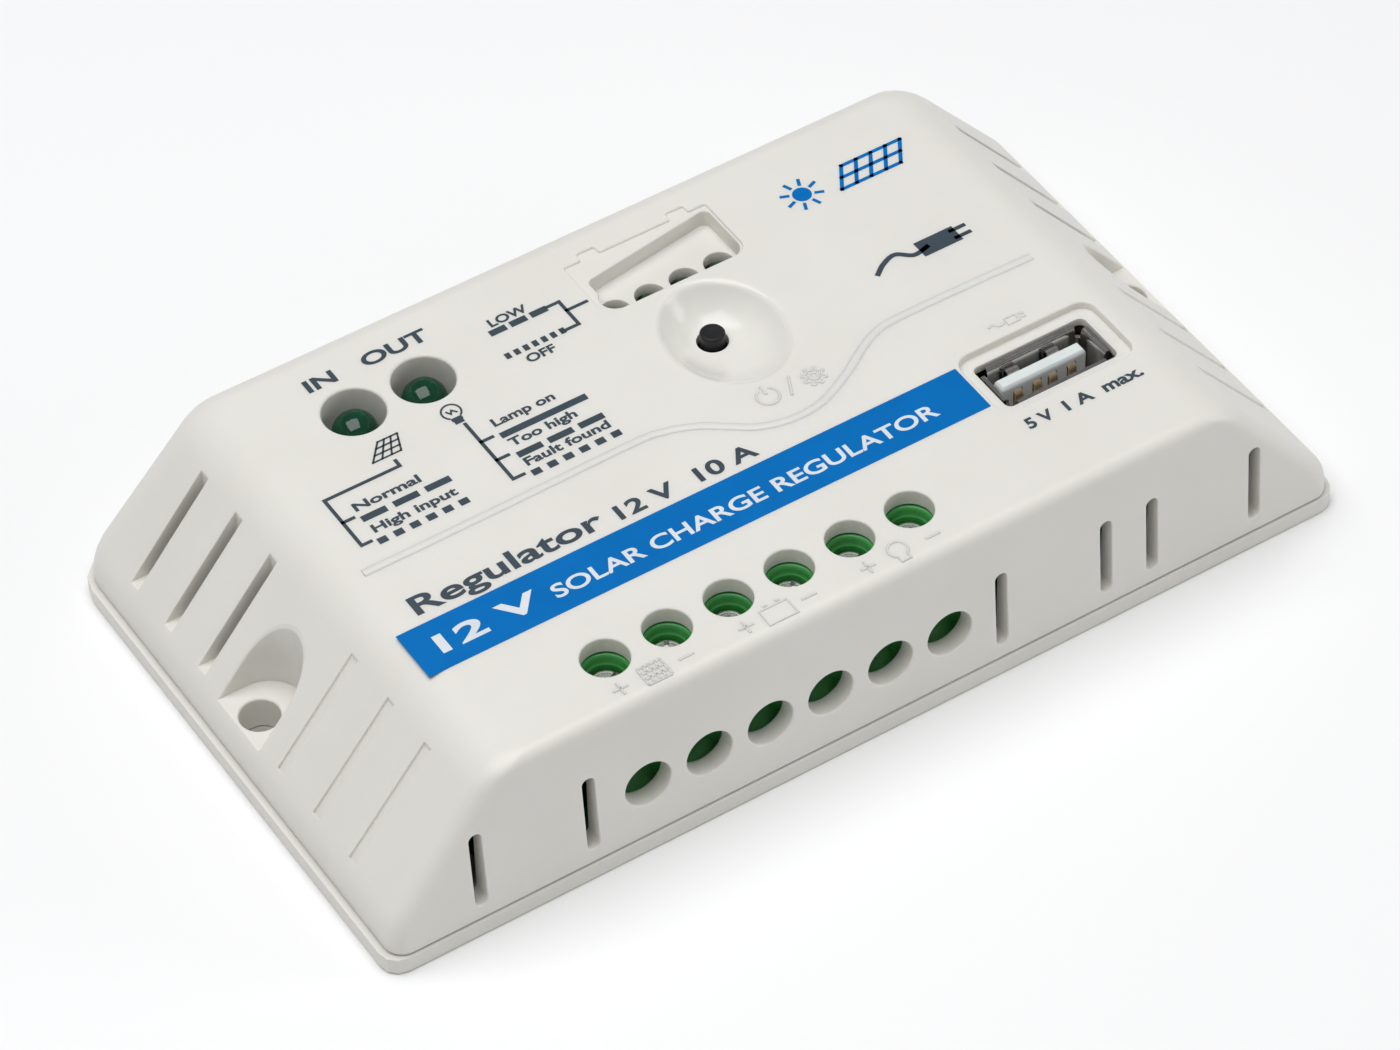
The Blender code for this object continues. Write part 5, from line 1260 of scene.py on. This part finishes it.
def makePrint():
    meshes = [words(*entry) for entry in legend["words"]]
    meshes += [barRow(*bar) for bar in legend["bars"]]
    bulb, plug, sun = legend["bulb"], legend["plug"], legend["sun"]
    bm = bmesh.new()
    strokes(bm, [(points, False) for points in legend["lines"]], legend["line"])
    strokes(bm, panelLines((-0.03395, -0.0305), (-0.0320, -0.0296), (0.0118, 0.0142), 3), legend["fine"])
    # lamp sign
    strokes(bm, [(arcPoints(bulb, 0.0011, -50, 230, 24), False),
                 lineAt(bulb, (-0.0005, 0.0002), (-0.0002, -0.0003), (0.0001, 0.0002), (0.0005, -0.0003))],
            legend["fine"])
    strokes(bm, [lineAt(bulb, (-x, y), (x, y)) for x, y in ((0.0004, -0.0012), (0.0003, -0.0017))], 0.0005)
    # plug and cord sign
    cord = lineAt(plug, (-0.0016, 0), (-0.0035, -0.0003), (-0.0052, 0.0009), (-0.0070, 0.0004),
                  (-0.0084, -0.0006))[0]
    strokes(bm, [(flowing(cord), False)], 0.0006)
    strokes(bm, [lineAt(plug, (-0.0014, 0), (0.0012, 0))], 0.0024)
    strokes(bm, [lineAt(plug, (0.0019, y), (0.0036, y)) for y in (-0.0006, 0.0006)], 0.0005)
    drawn = bpy.data.meshes.new("drawn")
    bm.to_mesh(drawn)
    bm.free()
    dress(join("slatePrint", meshes + [drawn]), looks["slateInk"])

    bm = bmesh.new()
    (x0, y0), (x1, y1) = band["low"], band["high"]
    middle, size = ((x0 + x1) / 2, (y0 + y1) / 2), (x1 - x0, y1 - y0)
    low = top + band["lift"]
    levels = ((low, 0.0), (low + band["thick"], 0.0))
    stacked(bm, boxShape(middle, size, 0.00012), levels)
    # a sun and a panel
    stacked(bm, roundShape(sun, 0.0011), levels)
    rays = []
    for i in range(8):
        a = 2 * pi * i / 8 + pi / 8
        rays.append(lineAt(sun, *((r * cos(a), r * sin(a)) for r in (0.0016, 0.0023))))
    strokes(bm, rays, 0.0004)
    strokes(bm, gridLines((0.0352, 0.0207), 0.0078, 0.0032, 4, 2, 0.0020), 0.00045)
    dress(newPiece("bluePrint", bm), looks["blueInk"])
    palePrint = join("palePrint", [words(*entry) for entry in legend["bandWords"]])
    dress(palePrint, looks["whiteInk"])


makePrint()
print("print made")


# the nodes that stay as they are take this object's finishes

slotLooks = {"housing": "housing", "housing_base": "housingBase", "board": "board",
             "terminal_green": "terminal", "plated_steel": "steel", "zinc": "zinc", "tinned_copper": "tin",
             "gold": "gold", "socket_white": "socket", "led_green": "lens", "black_plastic": "black",
             "spacer_white": "spacer", "capacitor_sleeve": "sleeve", "ferrite": "ferrite",
             "manganin": "manganin"}
for part in frame["record"]["subparts"]:
    node = frame["nodes"][part["node"]]
    for materialSlot in node.material_slots:
        materialSlot.material = looks[slotLooks[part["material_slot"]]]


# camera, light and floor

view = {"target": (-0.0048, -0.0061, 0.0109), "distance": 0.6192, "azimuth": -31.71, "elevation": 46.56,
        "roll": -1.55, "lens": 149.39}
cameraData = bpy.data.cameras.new("sightLine")
cameraData.sensor_width = 36
cameraData.lens = view["lens"]
camera = bpy.data.objects.new("sightLine", cameraData)
scene.collection.objects.link(camera)
azimuth, elevation = math.radians(view["azimuth"]), math.radians(view["elevation"])
back = Vector((sin(azimuth) * cos(elevation), -cos(azimuth) * cos(elevation), sin(elevation)))
turnTo = back.to_track_quat("Z", "Y").to_matrix().to_4x4()
camera.matrix_world = (Matrix.Translation(Vector(view["target"]) + back * view["distance"]) @ turnTo
                       @ Matrix.Rotation(math.radians(view["roll"]), 4, "Z"))
scene.camera = camera

lamps = {
    "overhead": {"at": (-0.13, 0.02, 0.80), "size": 0.80, "power": 6.9},
    "rightFill": {"at": (0.80, -0.50, 0.30), "size": 0.40, "power": 1.6},
}
for name, lamp in lamps.items():
    data = bpy.data.lights.new(name, "AREA")
    data.shape = "SQUARE"
    data.size, data.energy = lamp["size"], lamp["power"]
    light = bpy.data.objects.new(name, data)
    scene.collection.objects.link(light)
    light.matrix_world = (Matrix.Translation(lamp["at"])
                          @ Vector(lamp["at"]).to_track_quat("Z", "Y").to_matrix().to_4x4())
world = bpy.data.worlds.new("studio")
world.use_nodes = True
world.node_tree.nodes["Background"].inputs["Color"].default_value = (0.93, 0.95, 1.0, 1)
world.node_tree.nodes["Background"].inputs["Strength"].default_value = 0.21
scene.world = world
scene.view_settings.view_transform = "Standard"

bm = bmesh.new()
bmesh.ops.create_grid(bm, x_segments=8, y_segments=8, size=1.5)
floor = newPiece("paleFloor", bm)
floor.data.transform(Matrix.Translation((0, 0, -0.0001)))
if floor.data.polygons[0].normal.z < 0:
    floor.data.flip_normals()
floor.data.materials.append(looks["floor"])
